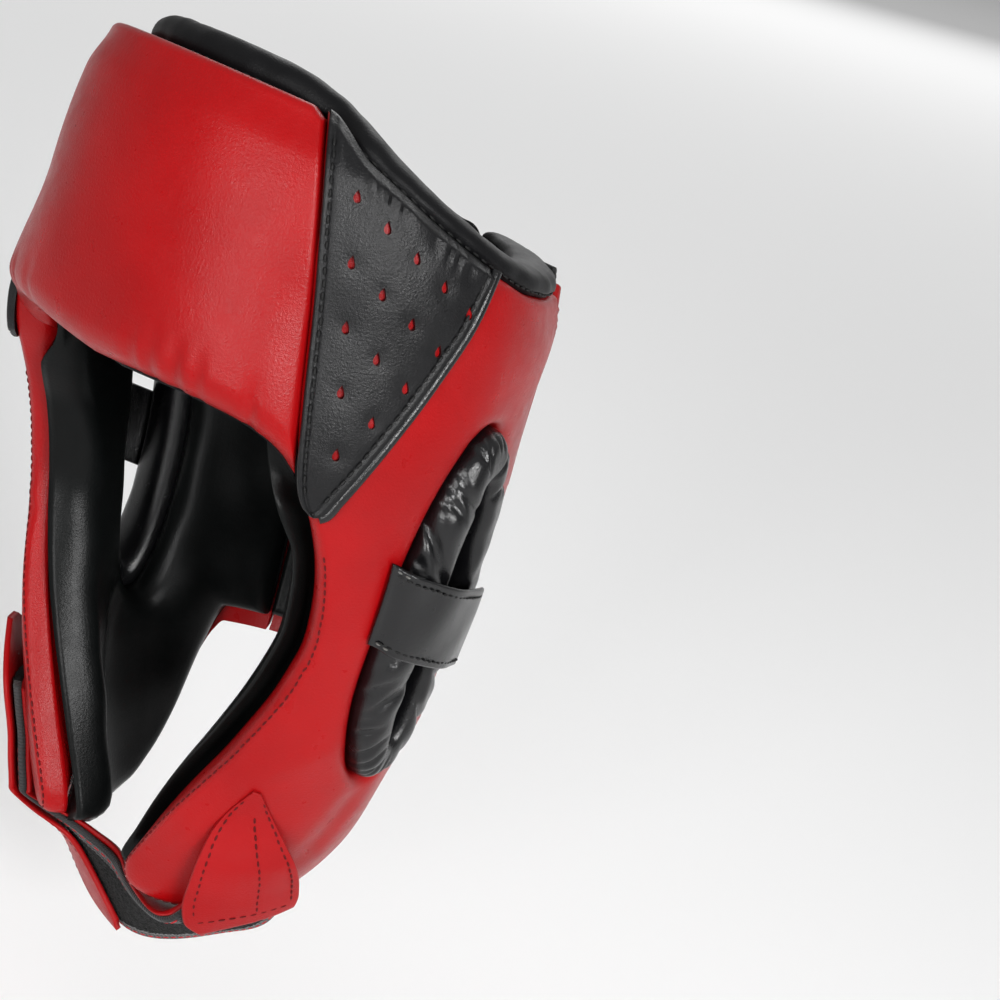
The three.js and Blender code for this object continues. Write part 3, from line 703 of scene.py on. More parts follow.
def brow_lining():
    obj, s, t, top = cut("brow_lining", 84, 56, (0.8, 0.8))
    theta, v = forehead_place(s, t, 0.5, 2.5, 0.6)
    edge = np.hypot(rolled(from_side(s) * BROW_LINING_WIDE, 3), rolled(from_side(t) * BROW_LINING_TALL, 4.5))
    h = np.where(top, -PAD - GAP, -PAD - GAP - LINING + np.minimum(edge, LINING - 1))
    lay(obj, theta, v, h, (0.5, 26, 5), ~top)
    finish_piece(obj, LINING_LEATHER, ["lining_front"])


forehead()
brow_lining()
print("forehead pieces:", finished[-2:])

# %% [markdown]
# ## Sides
# One padded side runs from the forehead seam over the temple, round the ear and down to the cheek and nape.
# It has an ear hole. A Boolean hole in a flat cut would leave thin faces just where the leather rolls in, so
# the side starts as a torus: the way round the torus is the way round the ear, and the way across it leads
# from the ear hole to the panel's outer edge. The leather is gathered under the rear rim.

# %% Side table
RIM = [[0, -8.5], [20, -8.5], [39, -6], [53, 1], [65, 7.5], [78, 12.5], [95, 16], [110, 15.5], [125, 14],
       [140, 12], [155, 11], [180, 10]]
BINDING = [
    # theta, h of the middle, half depth, half height
    [0, -15.2, 5.4, 5.4], [39.6, -15.2, 5.4, 5.4], [47.5, -9.9, 7.4, 5.2], [60, -8.9, 8.2, 5],
    [95, -8.9, 8.2, 4.6], [180, -8.9, 8.2, 4.2],
]
SIDE = [
    # phi on the ear hole, theta, v, radius of the rolled edge
    [-62, 39.6, 6.5, 1.5], [-57, 42.6, 27, 1.5], [-50, 44.6, 48, 1.5], [-42, 45.9, 70, 1.5],
    [-32, 47.2, 89.5, 2], [-22, 51.5, 102, 4], [-10, 54.5, 114, 5], [2, 56, 125, 5],
    [14, 56.5, 136, 5], [26, 54, 151.5, 5], [37, 47, 173.5, 5], [45, 37, 197, 5],
    [52, 28, 217.5, 5], [58, 23.5, 229, 5], [63, 25, 234, 5], [68, 32, 237, 5],
    [78, 56, 238.5, 5], [90, 84, 236.5, 5], [98, 101, 229, 5], [105, 110, 219, 5],
    [112, 115, 208, 5], [118, 118, 199, 5], [124, 121, 191.5, 4], [131, 128, 188, 4],
    [140, 140, 188, 4], [150, 155, 188, 4], [168, 155, 150, 3], [186, 155, 110, 3],
    [204, 155, 70, 3], [220, 155, 36, 3], [231, 155, 13, 2], [238, 141, 18, 1.5],
    [246, 126, 24, 1.5], [256, 110, 27, 1.5], [266, 95, 27, 1.5], [277, 79, 24.5, 1.5],
    [286, 66, 19.5, 1.5], [293, 53.5, 13.5, 1.5],
]
EAR_THETA, EAR_V, EAR_LEAN, EAR_HALF, EAR_TALL, EAR_ROUND = 89, 124, -0.05, 17, 60, 0.9
MM_PER_DEGREE = 1.3
REAR_LEFT, REAR_RIGHT, SIDE_REAR_FROM, NAPE_V, NAPE_SHOW = 155, 140.5, 118, 188, 7.0
RIM_CLEAR, RIM_TUCK, CORNER_FILL, SEAM_TUCK = 1.4, 2.4, 4.2, 1.2
TEMPLE_REACH = 1.5
rim_curve = smooth_table(RIM, 1)
binding_columns = columns_of(BINDING)
binding_middle, _, binding_half = binding_columns
print("stations round the ear:", len(SIDE))

# %% Side outline
def wrap(theta):
    return np.abs((np.asarray(theta, float) + 540) % 360 - 180)


def rim_top(theta):
    return rim_curve(wrap(theta))


def rim_low(theta):
    return rim_top(theta) + 2 * binding_half(wrap(theta)) + RIM_CLEAR


def rounded(x, power):
    """Sine or cosine made fuller or flatter by a power, with its sign kept."""
    return np.sign(x) * np.abs(x) ** power


def ear_hole(phi, inset):
    """Edge of the ear hole at a place round it, drawn in by a width in millimetres."""
    c, s = -np.cos(np.radians(phi)), np.sin(np.radians(phi))
    v = EAR_V + (EAR_TALL - inset) * rounded(s, EAR_ROUND)
    return EAR_THETA + EAR_LEAN * (v - EAR_V) + (EAR_HALF - inset / MM_PER_DEGREE) * rounded(c, EAR_ROUND), v


def side_edge(rear, reach=0, corner=0):
    """Outer edge of one side as curves of its share round the ear; corner lifts its front top corner."""
    rows = []
    for phi, theta, v, radius in SIDE:
        rearward = (theta - SIDE_REAR_FROM) / (REAR_LEFT - SIDE_REAR_FROM)
        if rearward > 0 and v < NAPE_V + 2:
            theta = mix(SIDE_REAR_FROM, rear, rearward)
        if phi < -40:
            theta -= SEAM_TUCK
        if phi > 230 or phi < -60:
            v = float(rim_low(theta)) - RIM_TUCK - corner * float(1 - ease(40, 50, theta))
        if reach and 108 < phi < 160:
            v -= NAPE_SHOW * float(ease(108, 128, phi))
        forward = reach / per_degree(theta, v) if -45 < phi < 60 else 0
        forward *= TEMPLE_REACH if phi < -20 else 1
        lift = reach * 0.5 if 50 < phi < 108 else 0
        rows.append([phi, theta - forward, v + lift, radius])
    rows.append([rows[0][0] + 360, *rows[0][1:]])
    return columns_of(np.column_stack([np.linspace(0, 1, len(rows)), rows]))


print("ear hole top and bottom, mm down the wall:", [float(ear_hole(phi, 0)[1].round()) for phi in (-90, 90)])

# %% Side covers
EDGE_THIN, STRAP_PRESS, LINING_REACH, LINING_MEET = 4.5, 3.9, 6.5, 147.5
SIDE_CROWN, HOLE_ROLL, GATHER_DEEP = 1.6, 5.0, 0.75
CREASE_DEEP, CREASE_THETA, CREASE_V, CREASE_WIDE = 1.6, 86, 186, 5.5
EASED_DEEP, EASED_V = 0.5, 150
LINING_CROWN, LINING_ROLL, LINING_HOLE_ROLL = 3.0, 7.5, 6
FACE = 0.01


def gathers(theta, v, seed):
    """Fine upright folds under the rear rim, deepest at the binding."""
    fold = np.sin(np.radians(theta) * 95 + 1.3 * np.sin(np.radians(theta) * 23 + seed))
    fold += 0.5 * np.sin(np.radians(theta) * 173 + seed)
    return fold * (1 - ease(1, 15, v - rim_low(theta))) * ease(112, 128, wrap(theta))


def face_edge(phi, t):
    """1 at the edge of the face opening and the cheek's bottom, where cover and lining are sewn together."""
    return ease(-32, -22, phi) * (1 - ease(108, 118, phi)) * ease(0.75, 1, t)


def under_straps(theta, v):
    """1 where the rear straps press the pad in."""
    return ease(127, 134, wrap(theta)) * ease(14, 20, v) * (1 - ease(181, 187, v))


def side_panel(name, around, across, edge, inset):
    """Start of a side: the piece, phi, edge radius, share from hole to edge, theta, v, width and face."""
    obj, turn, share, face = panel_with_hole(name, around, across)
    phi, edge_theta, edge_v, radius = (curve(turn) for curve in edge)
    hole_theta, hole_v = ear_hole(phi, inset)
    t = np.clip(share, 0, 1)
    width = np.linalg.norm(on_form(edge_theta, edge_v, 0) - on_form(hole_theta, hole_v, 0), axis=-1)
    return obj, phi, radius, t, mix(hole_theta, edge_theta, t), mix(hole_v, edge_v, t), width, face


def side_cover(name, sign, rear, corner, nodes):
    obj, phi, radius, t, theta, v, width, face = side_panel(name, 304, 52, side_edge(rear, 0, corner), 0)
    top = face > FACE
    below_patch = np.maximum(1 - ease(-58, -54, phi), ease(272, 280, phi))
    outer = rolled((1 - t) * width, np.clip(radius * 0.8, 2.2, 4) + 3.5 * below_patch)
    drop = np.minimum(np.hypot(outer, rolled(t * width, HOLE_ROLL)), PAD - 1)
    crown = SIDE_CROWN * np.sin(np.pi * t) ** 0.7 * ease(20, 50, width)
    cheek = ease(176, 196, v) * (1 - ease(206, 226, v))
    crease = CREASE_DEEP * cheek * bell(theta + 0.25 * (v - CREASE_V), CREASE_THETA, CREASE_WIDE)
    eased = EASED_DEEP * bell(v, EASED_V, 9) * ease(0.86, 0.97, t) * (theta < 66) * (1 + np.sin(v * 1.9))
    folds = GATHER_DEEP * gathers(theta, v, 2.0 * sign)
    outside = crown - drop - STRAP_PRESS * under_straps(theta, v) + folds
    h = np.where(top, outside - crease - eased, -PAD + EDGE_THIN * face_edge(phi, t))
    h = np.where(np.abs(face) <= FACE, -PAD * 0.5, h)
    lay(obj, sign * theta, v, h, (0.45, 38, 11 + sign), top)
    return finish_piece(obj, RED_LEATHER, nodes)


def side_lining(name, sign, rear, outer_h, inset, nodes):
    obj, phi, _, t, theta, v, width, face = side_panel(name, 260, 44, side_edge(rear, LINING_REACH), inset)
    inside = face < -FACE
    lip = EDGE_THIN * face_edge(phi, t)
    edges = np.hypot(rolled((1 - t) * width, LINING_ROLL), rolled(t * width, LINING_HOLE_ROLL))
    drop = np.minimum(edges, LINING - 1 + lip)
    crown = LINING_CROWN * np.sin(np.pi * t) ** 0.8 * ease(14, 34, width) * (1 - ease(60, 95, width))
    h = np.where(inside, -PAD - GAP - LINING - crown + drop, outer_h + lip)
    h = np.where(np.abs(face) <= FACE, outer_h + lip - 2.2, h)
    lay(obj, sign * theta, v, h, (0.55, 24, 21 + sign), inside)
    finish_piece(obj, LINING_LEATHER, nodes)


covers = {"left": side_cover("side_cover_left", 1, REAR_LEFT, CORNER_FILL, ["side_pad_left"]),
          "right": side_cover("side_cover_right", -1, REAR_RIGHT, 0, ["side_pad_right"])}
side_lining("side_lining_left", 1, LINING_MEET, -PAD - 1.3, 8, ["lining_left"])
side_lining("side_lining_right", -1, REAR_RIGHT - 0.6, -PAD - GAP, 6, ["lining_right"])
print("side pieces:", finished[-4:])

# %% [markdown]
# ## Rear
# The rear pad is sewn to the right side and runs in under the free end of the left side, so that the straps
# can draw the guard tight. Elastic under the binding gathers its top into fine shiny folds. A cloth
# simulation could gather them, but folds from a sum of waves stay on the seam and come out the same each
# time.

# %% Rear pad
LAP = 12.6
REAR_WIDE, REAR_TALL = 86, 174
REAR_FROM, REAR_TO, REAR_LINING_FROM = 218.6, 149, 219.2
REAR_LINING, REAR_PRESS = -PAD - 5.5, 2.5


def lap_shift(theta):
    return -LAP * (1 - ease(160, 212, theta))


def rear_cover():
    obj, s, t, top = cut("rear_cover", 120, 92, (0.7, 0.7))
    theta = mix(REAR_FROM, REAR_TO, s)
    v = mix(rim_low(theta), NAPE_V, t)
    ends = np.hypot(rolled(t * REAR_TALL, 1.8), rolled((1 - t) * REAR_TALL, 4.5))
    drop = np.minimum(np.hypot(rolled(from_side(s) * REAR_WIDE, 3), ends), PAD - 3)
    outside = -0.5 - drop - REAR_PRESS * under_straps(theta, v) + 0.8 * gathers(theta, v, 0.7)
    lay(obj, theta, v, np.where(top, outside, -PAD + 1) + lap_shift(theta), (0.4, 34, 31), top)
    finish_piece(obj, RED_LEATHER, ["rear_pad"])


def rear_lining():
    obj, s, t, top = cut("rear_lining", 70, 70, (0.75, 0.75))
    theta = mix(REAR_LINING_FROM, LINING_MEET, s)
    v = mix(rim_low(theta), NAPE_V - NAPE_SHOW, t)
    edges = np.hypot(rolled(from_side(s) * REAR_WIDE, 3), rolled(from_side(t) * REAR_TALL, 4))
    h = np.where(top, -PAD + 1 - GAP, REAR_LINING + np.minimum(edges, 4.5))
    lay(obj, theta, v, h + lap_shift(theta), (0.3, 26, 33), ~top)
    finish_piece(obj, LINING_LEATHER, ["lining_rear"])


rear_cover()
rear_lining()
print("rear pieces:", finished[-2:])

# %% [markdown]
# ## Rim
# The top edge is bound with a padded black roll. It climbs the free end of the left side, runs round the
# front behind the forehead block, and ends behind, under the lap. A curve with a round bevel could make it,
# but its section would be the same all the way. A sphere with many rings gives a roll with closed ends and a
# section that changes, with a groove pressed in where the binding is sewn through.

# %% Lines and curves
def cubic(knots, values, at):
    """Natural cubic curve through values at knots, for any number of columns."""
    knots, values, at = np.asarray(knots, float), np.asarray(values, float), np.asarray(at, float)
    n = len(knots)
    step = np.diff(knots)
    flat = values.reshape(n, -1)
    system = np.eye(n)
    goal = np.zeros_like(flat)
    for i in range(1, n - 1):
        system[i, i - 1:i + 2] = step[i - 1], 2 * (step[i - 1] + step[i]), step[i]
        goal[i] = 6 * ((flat[i + 1] - flat[i]) / step[i] - (flat[i] - flat[i - 1]) / step[i - 1])
    bend = np.linalg.solve(system, goal)
    i = np.clip(np.searchsorted(knots, at, side="right") - 1, 0, n - 2)
    a = (knots[i + 1] - at)[:, None]
    b = (at - knots[i])[:, None]
    w = step[i][:, None]
    made = (bend[i] * a**3 + bend[i + 1] * b**3) / (6 * w)
    made += (flat[i] / w - bend[i] * w / 6) * a + (flat[i + 1] / w - bend[i + 1] * w / 6) * b
    return made.reshape(len(at), *values.shape[1:])


def lengths(points):
    """Distance along a line of points, at each of them."""
    return np.concatenate([[0], np.cumsum(np.linalg.norm(np.diff(points, axis=0), axis=-1))])


print("a line of three points:", lengths(np.array([[0, 0], [3, 4], [3, 5]])))

# %% Rim binding
LAP_END_THETA, LAP_END_H = 159.4, -5.6
RIM_STATIONS = [154, 150, 144, 136, 128, 120, 110, 100, 90, 80, 71, 64, 58, 52, 47.5, 43.5, 39.6, 34, 26, 17,
                8, 0]
RIM_UNDER_LAP = [208, 200, 192, 184, 176, 168, 160, 152]
RIM_STITCH_TURN, RIM_ROUND = 2.0, 0.85


def rim_path():
    """Stations of the rim: theta, v, h, half height and half depth."""
    corner = float(rim_top(154) + binding_half(154))
    rows = [[LAP_END_THETA, v, LAP_END_H, 3, 5.2] for v in (100, 70, 46, corner + 16, corner + 6)]
    rows.append([158, corner + 1.6, -6.4, 3.2, 6])
    for theta in RIM_STATIONS + [-theta for theta in reversed(RIM_STATIONS) if 0 < theta < 150]:
        middle, deep, half = (float(curve(abs(theta))) for curve in binding_columns)
        rows.append([theta, float(rim_top(theta)) + half, middle, half, deep])
    for theta in RIM_UNDER_LAP:
        half = float(binding_half(wrap(theta)))
        lapped = float(1 - ease(158, 190, theta))
        h = float(binding_middle(180)) + float(lap_shift(theta)) - 2 * lapped
        rows.append([theta - 360, float(rim_top(theta)) + half, h, half, mix(8, 5, lapped)])
    return np.array(rows)


RIM_PATH = rim_path()
rim_length = lengths(on_form(*RIM_PATH[:, :3].T))


def rim_point(share, out, up):
    """Point of the rim's section: out across it in the wall, up out of the wall."""
    at = share * rim_length[-1]
    theta, v, h = cubic(rim_length, RIM_PATH, at)[:, :3].T
    travel = cubic(rim_length, RIM_PATH, at + 0.8) - cubic(rim_length, RIM_PATH, at - 0.8)
    scale = per_degree(theta, v)
    run = unit(np.stack([travel[:, 0] * scale, travel[:, 1]], -1))
    return on_form(theta - run[:, 1] * out / scale, v + run[:, 0] * out, h + up)


def rim_halves(share):
    return cubic(rim_length, RIM_PATH, share * rim_length[-1])[:, 3:].T


def rim_binding():
    obj, share, turn, cap = roll_of("rim_binding", 420, 28)
    half, deep = rim_halves(share)
    groove = 0.55 * bell(turn, RIM_STITCH_TURN, 0.16)
    out = half * rounded(np.cos(turn), RIM_ROUND) * (1 - groove * 0.12)
    up = deep * rounded(np.sin(turn), RIM_ROUND) - groove
    points = rim_point(share, np.where(cap, 0, out), np.where(cap, 0, up))
    away = unit(points - rim_point(share, 0 * out, 0 * up))
    set_points(obj, points + away * (0.22 * soft_noise(points, 11, 41))[:, None])
    keep_pattern(obj, share * rim_length[-1], turn * 5)
    finish_piece(obj, RIM_LEATHER, ["top_rim"])


rim_binding()
print("rim:", finished[-1], "length", round(rim_length[-1]), "mm")

# %% [markdown]
# ## Thread
# Seams read as sewn only when the stitches are there. One stitch is a small round-ended bead of thread, half
# sunk in the leather. It is modelled once, and copies of it are laid along a seam at an even pitch, all in
# one mesh, because a thousand separate objects would slow everything down. A line of bump would be lighter
# still, but it would not break the light along an edge.

# %% Stitch maker
STITCH_SIDES, STITCH_RINGS, UNEVEN_HAND = 6, 5, 0.06
rng = np.random.default_rng(7)
deselect()
bpy.ops.mesh.primitive_uv_sphere_add(segments=STITCH_SIDES, ring_count=STITCH_RINGS, radius=1)
stitch_model = bpy.context.object
stitch_points = read_points(stitch_model)
stitch_faces = [list(face.vertices) for face in stitch_model.data.polygons]
bpy.data.objects.remove(stitch_model)


def between(at, knots, values):
    """Straight steps between values at knots, for three columns."""
    return np.stack([np.interp(at, knots, values[:, k]) for k in range(3)], -1)


def even_line(points, outward, pitch):
    """Places, directions of travel and ways out at an even pitch along a line of points."""
    length = lengths(points)
    count = max(2, int(length[-1] / pitch))
    at = (np.arange(count) + 0.5) * length[-1] / count
    steps = np.linspace(0, 1, len(points))
    way = unit(between(at + 0.3, length, points) - between(at - 0.3, length, points))
    return between(at, length, points), way, unit(between(np.interp(at, length, steps), steps, outward))


def stitches(name, finish, lines, pitch=3.0, long=2.1, thick=0.42, slant=0.0):
    """One mesh of stitches along lines; a line is its points and the way out at each of them."""
    verts, faces = [], []
    for points, outward in lines:
        place, way, out = even_line(points, outward, pitch)
        way = unit(way + slant * unit(np.cross(out, way)))
        side = unit(np.cross(out, way))
        jitter = rng.normal(0, UNEVEN_HAND, (len(place), 1))
        for i in range(len(place)):
            body = (stitch_points[:, 2:3] * way[i] * long / 2 + stitch_points[:, 0:1] * side[i] * thick
                    + stitch_points[:, 1:2] * out[i] * thick)
            faces.extend([[len(verts) + k for k in face] for face in stitch_faces])
            verts.extend((place[i] + jitter[i] * side[i] + body) * MM)
    finish_piece(built(name, verts, faces), finish)


print("one stitch has", len(stitch_faces), "faces")

# %% Rim and face stitches
EDGE_SEAM, STITCH_SUNK = 1.3, 0.3


def rim_stitch_line(low, high):
    share = np.linspace(low, high, 700)
    half, deep = rim_halves(share)
    out = half * rounded(np.cos(RIM_STITCH_TURN), RIM_ROUND)
    up = deep * np.sin(RIM_STITCH_TURN) ** RIM_ROUND - STITCH_SUNK
    points = rim_point(share, out, up)
    return points, unit(points - rim_point(share, 0 * out, 0 * up))


def laid_on(obj, points):
    """The same line of points, brought to the nearest places of a finished piece, with the ways out of it."""
    found = [obj.closest_point_on_mesh(Vector(p * MM)) for p in points]
    return np.array([place for _, place, _, _ in found]) / MM, np.array([way for _, _, way, _ in found])


def face_stitch_line(cover, sign, rear):
    """Seam of cover and lining along the face opening and the cheek's bottom edge."""
    phi, theta, v, _ = (curve(np.linspace(0, 1, 900)) for curve in side_edge(rear))
    keep = (phi > -16) & (phi < 110)
    phi, theta, v = phi[keep], theta[keep], v[keep]
    hole_theta, hole_v = ear_hole(phi, 0)
    inward = EDGE_SEAM / np.linalg.norm(on_form(theta, v, 0) - on_form(hole_theta, hole_v, 0), axis=-1)
    return laid_on(cover, on_form(sign * mix(theta, hole_theta, inward), mix(v, hole_v, inward), 0))


SIDES = (("left", 1), ("right", -1))
for (side_name, sign), rear in zip(SIDES, (REAR_LEFT, REAR_RIGHT)):
    line = face_stitch_line(covers[side_name], sign, rear)
    stitches("face_stitches_" + side_name, DARK_RED_THREAD, [line], pitch=2.6, long=2.0,
             thick=0.36)
stitches("rim_stitches", BLACK_THREAD, [rim_stitch_line(0.01, 0.99)], pitch=3.2, long=2.3,
         thick=0.4)
print("first stitches:", finished[-3:])

# %% [markdown]
# ## Temple patches
# A black leather triangle is laid over each temple and sewn down along its two long edges. It is punched with
# fifteen small teardrop holes that show the red below. The holes are cut with a Boolean modifier, so they are
# real openings, and the leather dips a little round each of them, as it does where a punch has pressed it.

# %% Patch outline
PATCH = [
    # share of the way down, front theta, front v, rear theta, rear v
    [0, 39, 2, 79.5, 23.5], [0.2, 41.6, 23, 74.4, 38.5], [0.45, 43.9, 48, 67.6, 58],
    [0.7, 45.3, 71, 60, 77.5], [0.9, 46.7, 89, 54.5, 91.8], [0.97, 48.2, 95, 52.8, 96.2],
    [1, 50, 97.4, 51, 97.7],
]
PATCH_TUCK, PATCH_TALL = 3.2, 92
LEATHER, LEATHER_GAP, CUT_EDGE = 1.8, 0.4, 0.8
COVER_CROWN = 1.0
patch_columns = columns_of(PATCH)


def patch_place(s, t, corner=CORNER_FILL):
    front_theta, front_v, rear_theta, rear_v = (column(t) for column in patch_columns)
    top_theta, top_v = (mix(PATCH[0][k], PATCH[0][k + 2], s) for k in (1, 2))
    under_rim = rim_low(top_theta) - PATCH_TUCK - corner * (1 - ease(40, 50, top_theta))
    tucked = (under_rim - top_v) * (1 - ease(0, 0.3, t))
    return mix(front_theta, rear_theta, s), mix(front_v, rear_v, s) + tucked


def patch_width(t):
    front_theta, front_v, rear_theta, rear_v = (column(t) for column in patch_columns)
    return np.linalg.norm(on_form(rear_theta, rear_v, 0) - on_form(front_theta, front_v, 0), axis=-1)


def patch_rise(s, t):
    """The patch lies on the crowned cover, higher in its middle."""
    return COVER_CROWN * np.sin(np.pi * np.clip(s, 0, 1)) ** 0.7 * ease(4, 30, patch_width(t))


print("patch width at the top, mm:", round(float(patch_width(0)), 1))

# %% Punch
HOLE_ROWS, HOLE_THETA, HOLE_STEP, ROW_SHIFT = 5, 47.6, 6.45, 1.2
HOLE_V, ROW_STEP, HOLE_FALL, HOLE_FAN = 17.2, 15.6, 4.2, 0.3
HALF_DROP = [(0, -2.1), (0.55, -1.0), (0.95, 0.1), (0.9, 0.8), (0.5, 1.3), (0, 1.45)]
TEARDROP = HALF_DROP + [(-x, y) for x, y in reversed(HALF_DROP[1:-1])]
PUNCH_TOP, PUNCH_LOW = 9, -3


def hole_places():
    for row in range(HOLE_ROWS):
        for k in range(HOLE_ROWS - row):
            theta = HOLE_THETA + HOLE_STEP * k + ROW_SHIFT * row
            yield theta, HOLE_V + ROW_STEP * row + HOLE_FALL * k + HOLE_FAN * k * row


def punch(sign):
    """All the teardrop punches of one patch in one mesh, long enough to go through the leather."""
    verts, faces = [], []
    count = len(TEARDROP)
    for theta, v in hole_places():
        scale = per_degree(theta, v)
        base = len(verts)
        for h in (PUNCH_TOP, PUNCH_LOW):
            verts.extend(on_form(sign * (theta + x / scale), v + y, h) * MM for x, y in TEARDROP)
        for i in range(count):
            n = (i + 1) % count
            faces.append((base + i, base + n, base + count + n, base + count + i))
        faces.append(tuple(base + i for i in reversed(range(count))))
        faces.append(tuple(base + count + i for i in range(count)))
    return built("punch", verts, faces)


print("holes in each patch:", len(list(hole_places())))

# %% Temple leather
FRONT_SEAM, REAR_SEAM, SEAM_WIDE = 2.2, 2.9, 0.7
SEAM_DEEP, PUCKER_DEEP, TUCK_DEEP = 0.5, 0.6, 2.6
DIP_WIDE, DIP_DEEP = 2.6, 0.4


def temple_leather(name, sign, nodes):
    obj, s, t, top = cut(name, 72, 96, (0.6, 0.5))
    theta, v = patch_place(s, t, CORNER_FILL if sign > 0 else 0)
    width = patch_width(t)
    drop = np.hypot(rolled(from_side(s) * width, CUT_EDGE), rolled(from_side(t) * PATCH_TALL, CUT_EDGE))
    rise = patch_rise(s, t)
    seam = bell(s * width, FRONT_SEAM, SEAM_WIDE) + bell((1 - s) * width, REAR_SEAM, SEAM_WIDE)
    dips = np.zeros_like(theta)
    for hole_theta, hole_v in hole_places():
        apart = np.hypot((theta - hole_theta) * per_degree(hole_theta, hole_v), v - hole_v)
        dips += bell(apart, 0, DIP_WIDE)
    pucker = np.sin(s * 62 + 3 * np.sin(s * 17)) * (1 - ease(0.03, 0.11, t))
    pucker = pucker * ease(0.02, 0.12, s) * ease(0.0, 0.03, t)
    tuck = TUCK_DEEP * (1 - ease(0, 0.035, t))
    face = LEATHER_GAP + LEATHER + rise - SEAM_DEEP * seam - DIP_DEEP * dips + PUCKER_DEEP * pucker - tuck
    h = np.where(top, face - np.minimum(drop, 0.9), LEATHER_GAP + 0.25 * rise - 0.4 - tuck)
    set_points(obj, on_form(sign * theta, v, h))
    cutter = punch(sign)
    deselect()
    obj.select_set(True)
    bpy.context.view_layer.objects.active = obj
    bite = obj.modifiers.new("holes", "BOOLEAN")
    bite.operation = "DIFFERENCE"
    bite.object = cutter
    bpy.ops.object.modifier_apply(modifier=bite.name)
    bpy.data.objects.remove(cutter)
    bpy.ops.object.shade_smooth_by_angle(angle=math.radians(50))
    finish_piece(obj, BLACK_LEATHER, nodes)


print("patch leather:", LEATHER, "mm")

# %% Patches in place
PIPING, PIPING_SIDES, PIPING_OUT, PIPING_SUNK = 1.5, 10, 0.2, 0.9


def patch_line(sign, rear, gap, rise, low, high):
    """Line down the patch, a gap in from its front or rear edge, with the ways out."""
    t = np.linspace(low, high, 90)
    share = gap / np.maximum(patch_width(t), 4)
    s = 1 - share if rear else share
    theta, v = patch_place(s, t)
    h = LEATHER_GAP + LEATHER + patch_rise(s, t) + rise
    return on_form(sign * theta, v, h), out_of_form(sign * theta, v)


def piping(name, points, outward):
    """Thin round roll along a line of points."""
    steps = len(points)
    obj, share, turn, cap = roll_of(name, steps, PIPING_SIDES)
    index = np.clip(np.round(share * (steps - 1)).astype(int), 0, steps - 1)
    way = unit(np.gradient(points, axis=0))
    side = unit(np.cross(outward, way))
    out = unit(np.cross(way, side))
    reach = np.where(cap, 0, PIPING)
    where = points[index] + side[index] * (reach * np.cos(turn))[:, None]
    set_points(obj, where + out[index] * (reach * np.sin(turn))[:, None])
    finish_piece(obj, SHINY_BLACK)


for side_name, sign in SIDES:
    temple_leather("temple_leather_" + side_name, sign, ["temple_patch_" + side_name])
    piping("rear_piping_" + side_name, *patch_line(sign, True, -PIPING_OUT, -PIPING_SUNK, 0.0, 0.99))
    lines = [patch_line(sign, rear, gap, -STITCH_SUNK, 0.05, 0.93)
             for rear, gap in ((False, FRONT_SEAM), (True, REAR_SEAM))]
    stitches("patch_stitches_" + side_name, BLACK_THREAD, lines, long=2.2, thick=0.44)
print("temple pieces:", finished[-6:])

# %% [markdown]
# ## Ear cushions
# A padded black roll lines each ear hole. The cover is cut longer than its seam, so it is eased in by many
# small puckers that run in from the outer edge and die out on the crown, with a few deep ones that cross it.
# They could be pressed with a sculpt brush. Here each one is a narrow valley in a formula, with its own
# place, width, depth and reach, so that the two ears differ and can be made again.

# %% Ear cushions
EAR_PAD_DEEP, EAR_PAD_MIDDLE, EAR_PAD_ROUND = 8.4, -3.6, 0.85
PUCKERS, DEEP_PUCKERS, DEEP_WIDE, PUCKER_SHARP = 42, 10, 2.6, 1.35


def ear_cushion(name, sign, half, seed, nodes):
    obj, turn, across, face = panel_with_hole(name, 420, 40)
    phi = turn * 360
    angle = np.arctan2(face, 2 * across - 1)
    out = -half * rounded(np.cos(angle), EAR_PAD_ROUND)
    up = EAR_PAD_DEEP * rounded(np.sin(angle), EAR_PAD_ROUND)
    from_seam = 1 - np.clip(across, 0, 1)
    draw = np.random.default_rng(seed)
    valley = np.zeros_like(phi)

    def groove(place, slant, wide):
        apart = (phi - place - slant * from_seam + 180) % 360 - 180
        return np.exp(-(np.abs(apart / wide) ** PUCKER_SHARP))

    for place in (np.arange(PUCKERS) + draw.uniform(-0.35, 0.35, PUCKERS)) * 360 / PUCKERS:
        slant = draw.uniform(-16, 16)
        wide, deep, reach = draw.uniform(1.1, 2.2), draw.uniform(0.8, 2.1), draw.uniform(0.3, 0.75)
        valley += deep * groove(place, slant, wide) * (1 - ease(reach * 0.3, reach, from_seam))
    for place in draw.uniform(0, 360, DEEP_PUCKERS):
        slant = draw.uniform(-25, 25)
        valley += draw.uniform(1.2, 2.4) * groove(place, slant, DEEP_WIDE) * (1 - ease(0.6, 1.0, from_seam))
    outer_face = ease(-0.2, 0.5, np.sin(angle))
    theta, v = ear_hole(phi, half + LEATHER_GAP + out)
    lay(obj, sign * theta, v, EAR_PAD_MIDDLE + up - valley * outer_face, (0.35, 9, seed), outer_face)
    finish_piece(obj, SHINY_BLACK, nodes)


ear_cushion("ear_cushion_left", 1, 8.2, 51, ["ear_pad_left"])
ear_cushion("ear_cushion_right", -1, 6.4, 52, ["ear_pad_right"])
print("ear cushions:", finished[-2:])

# %% [markdown]
# ## Straps that lie on the wall
# The ear bridges, the rear flaps and the loop panels are flat straps that follow the wall and fold round
# things. A plane could be folded by hand and thickened, but it would not keep to the pads. So each is drawn
# as a path of theta and h, and the strap is cut to its limits down the wall. A smooth curve through the path
# gives the rounded folds that leather makes; the free ends have rounded corners.

# %% Strap maker
ON_WALL = np.array([MM_PER_DEGREE, 1])
STEP = 0.25


def strap_length(path):
    return lengths(np.array(path, float) * ON_WALL)


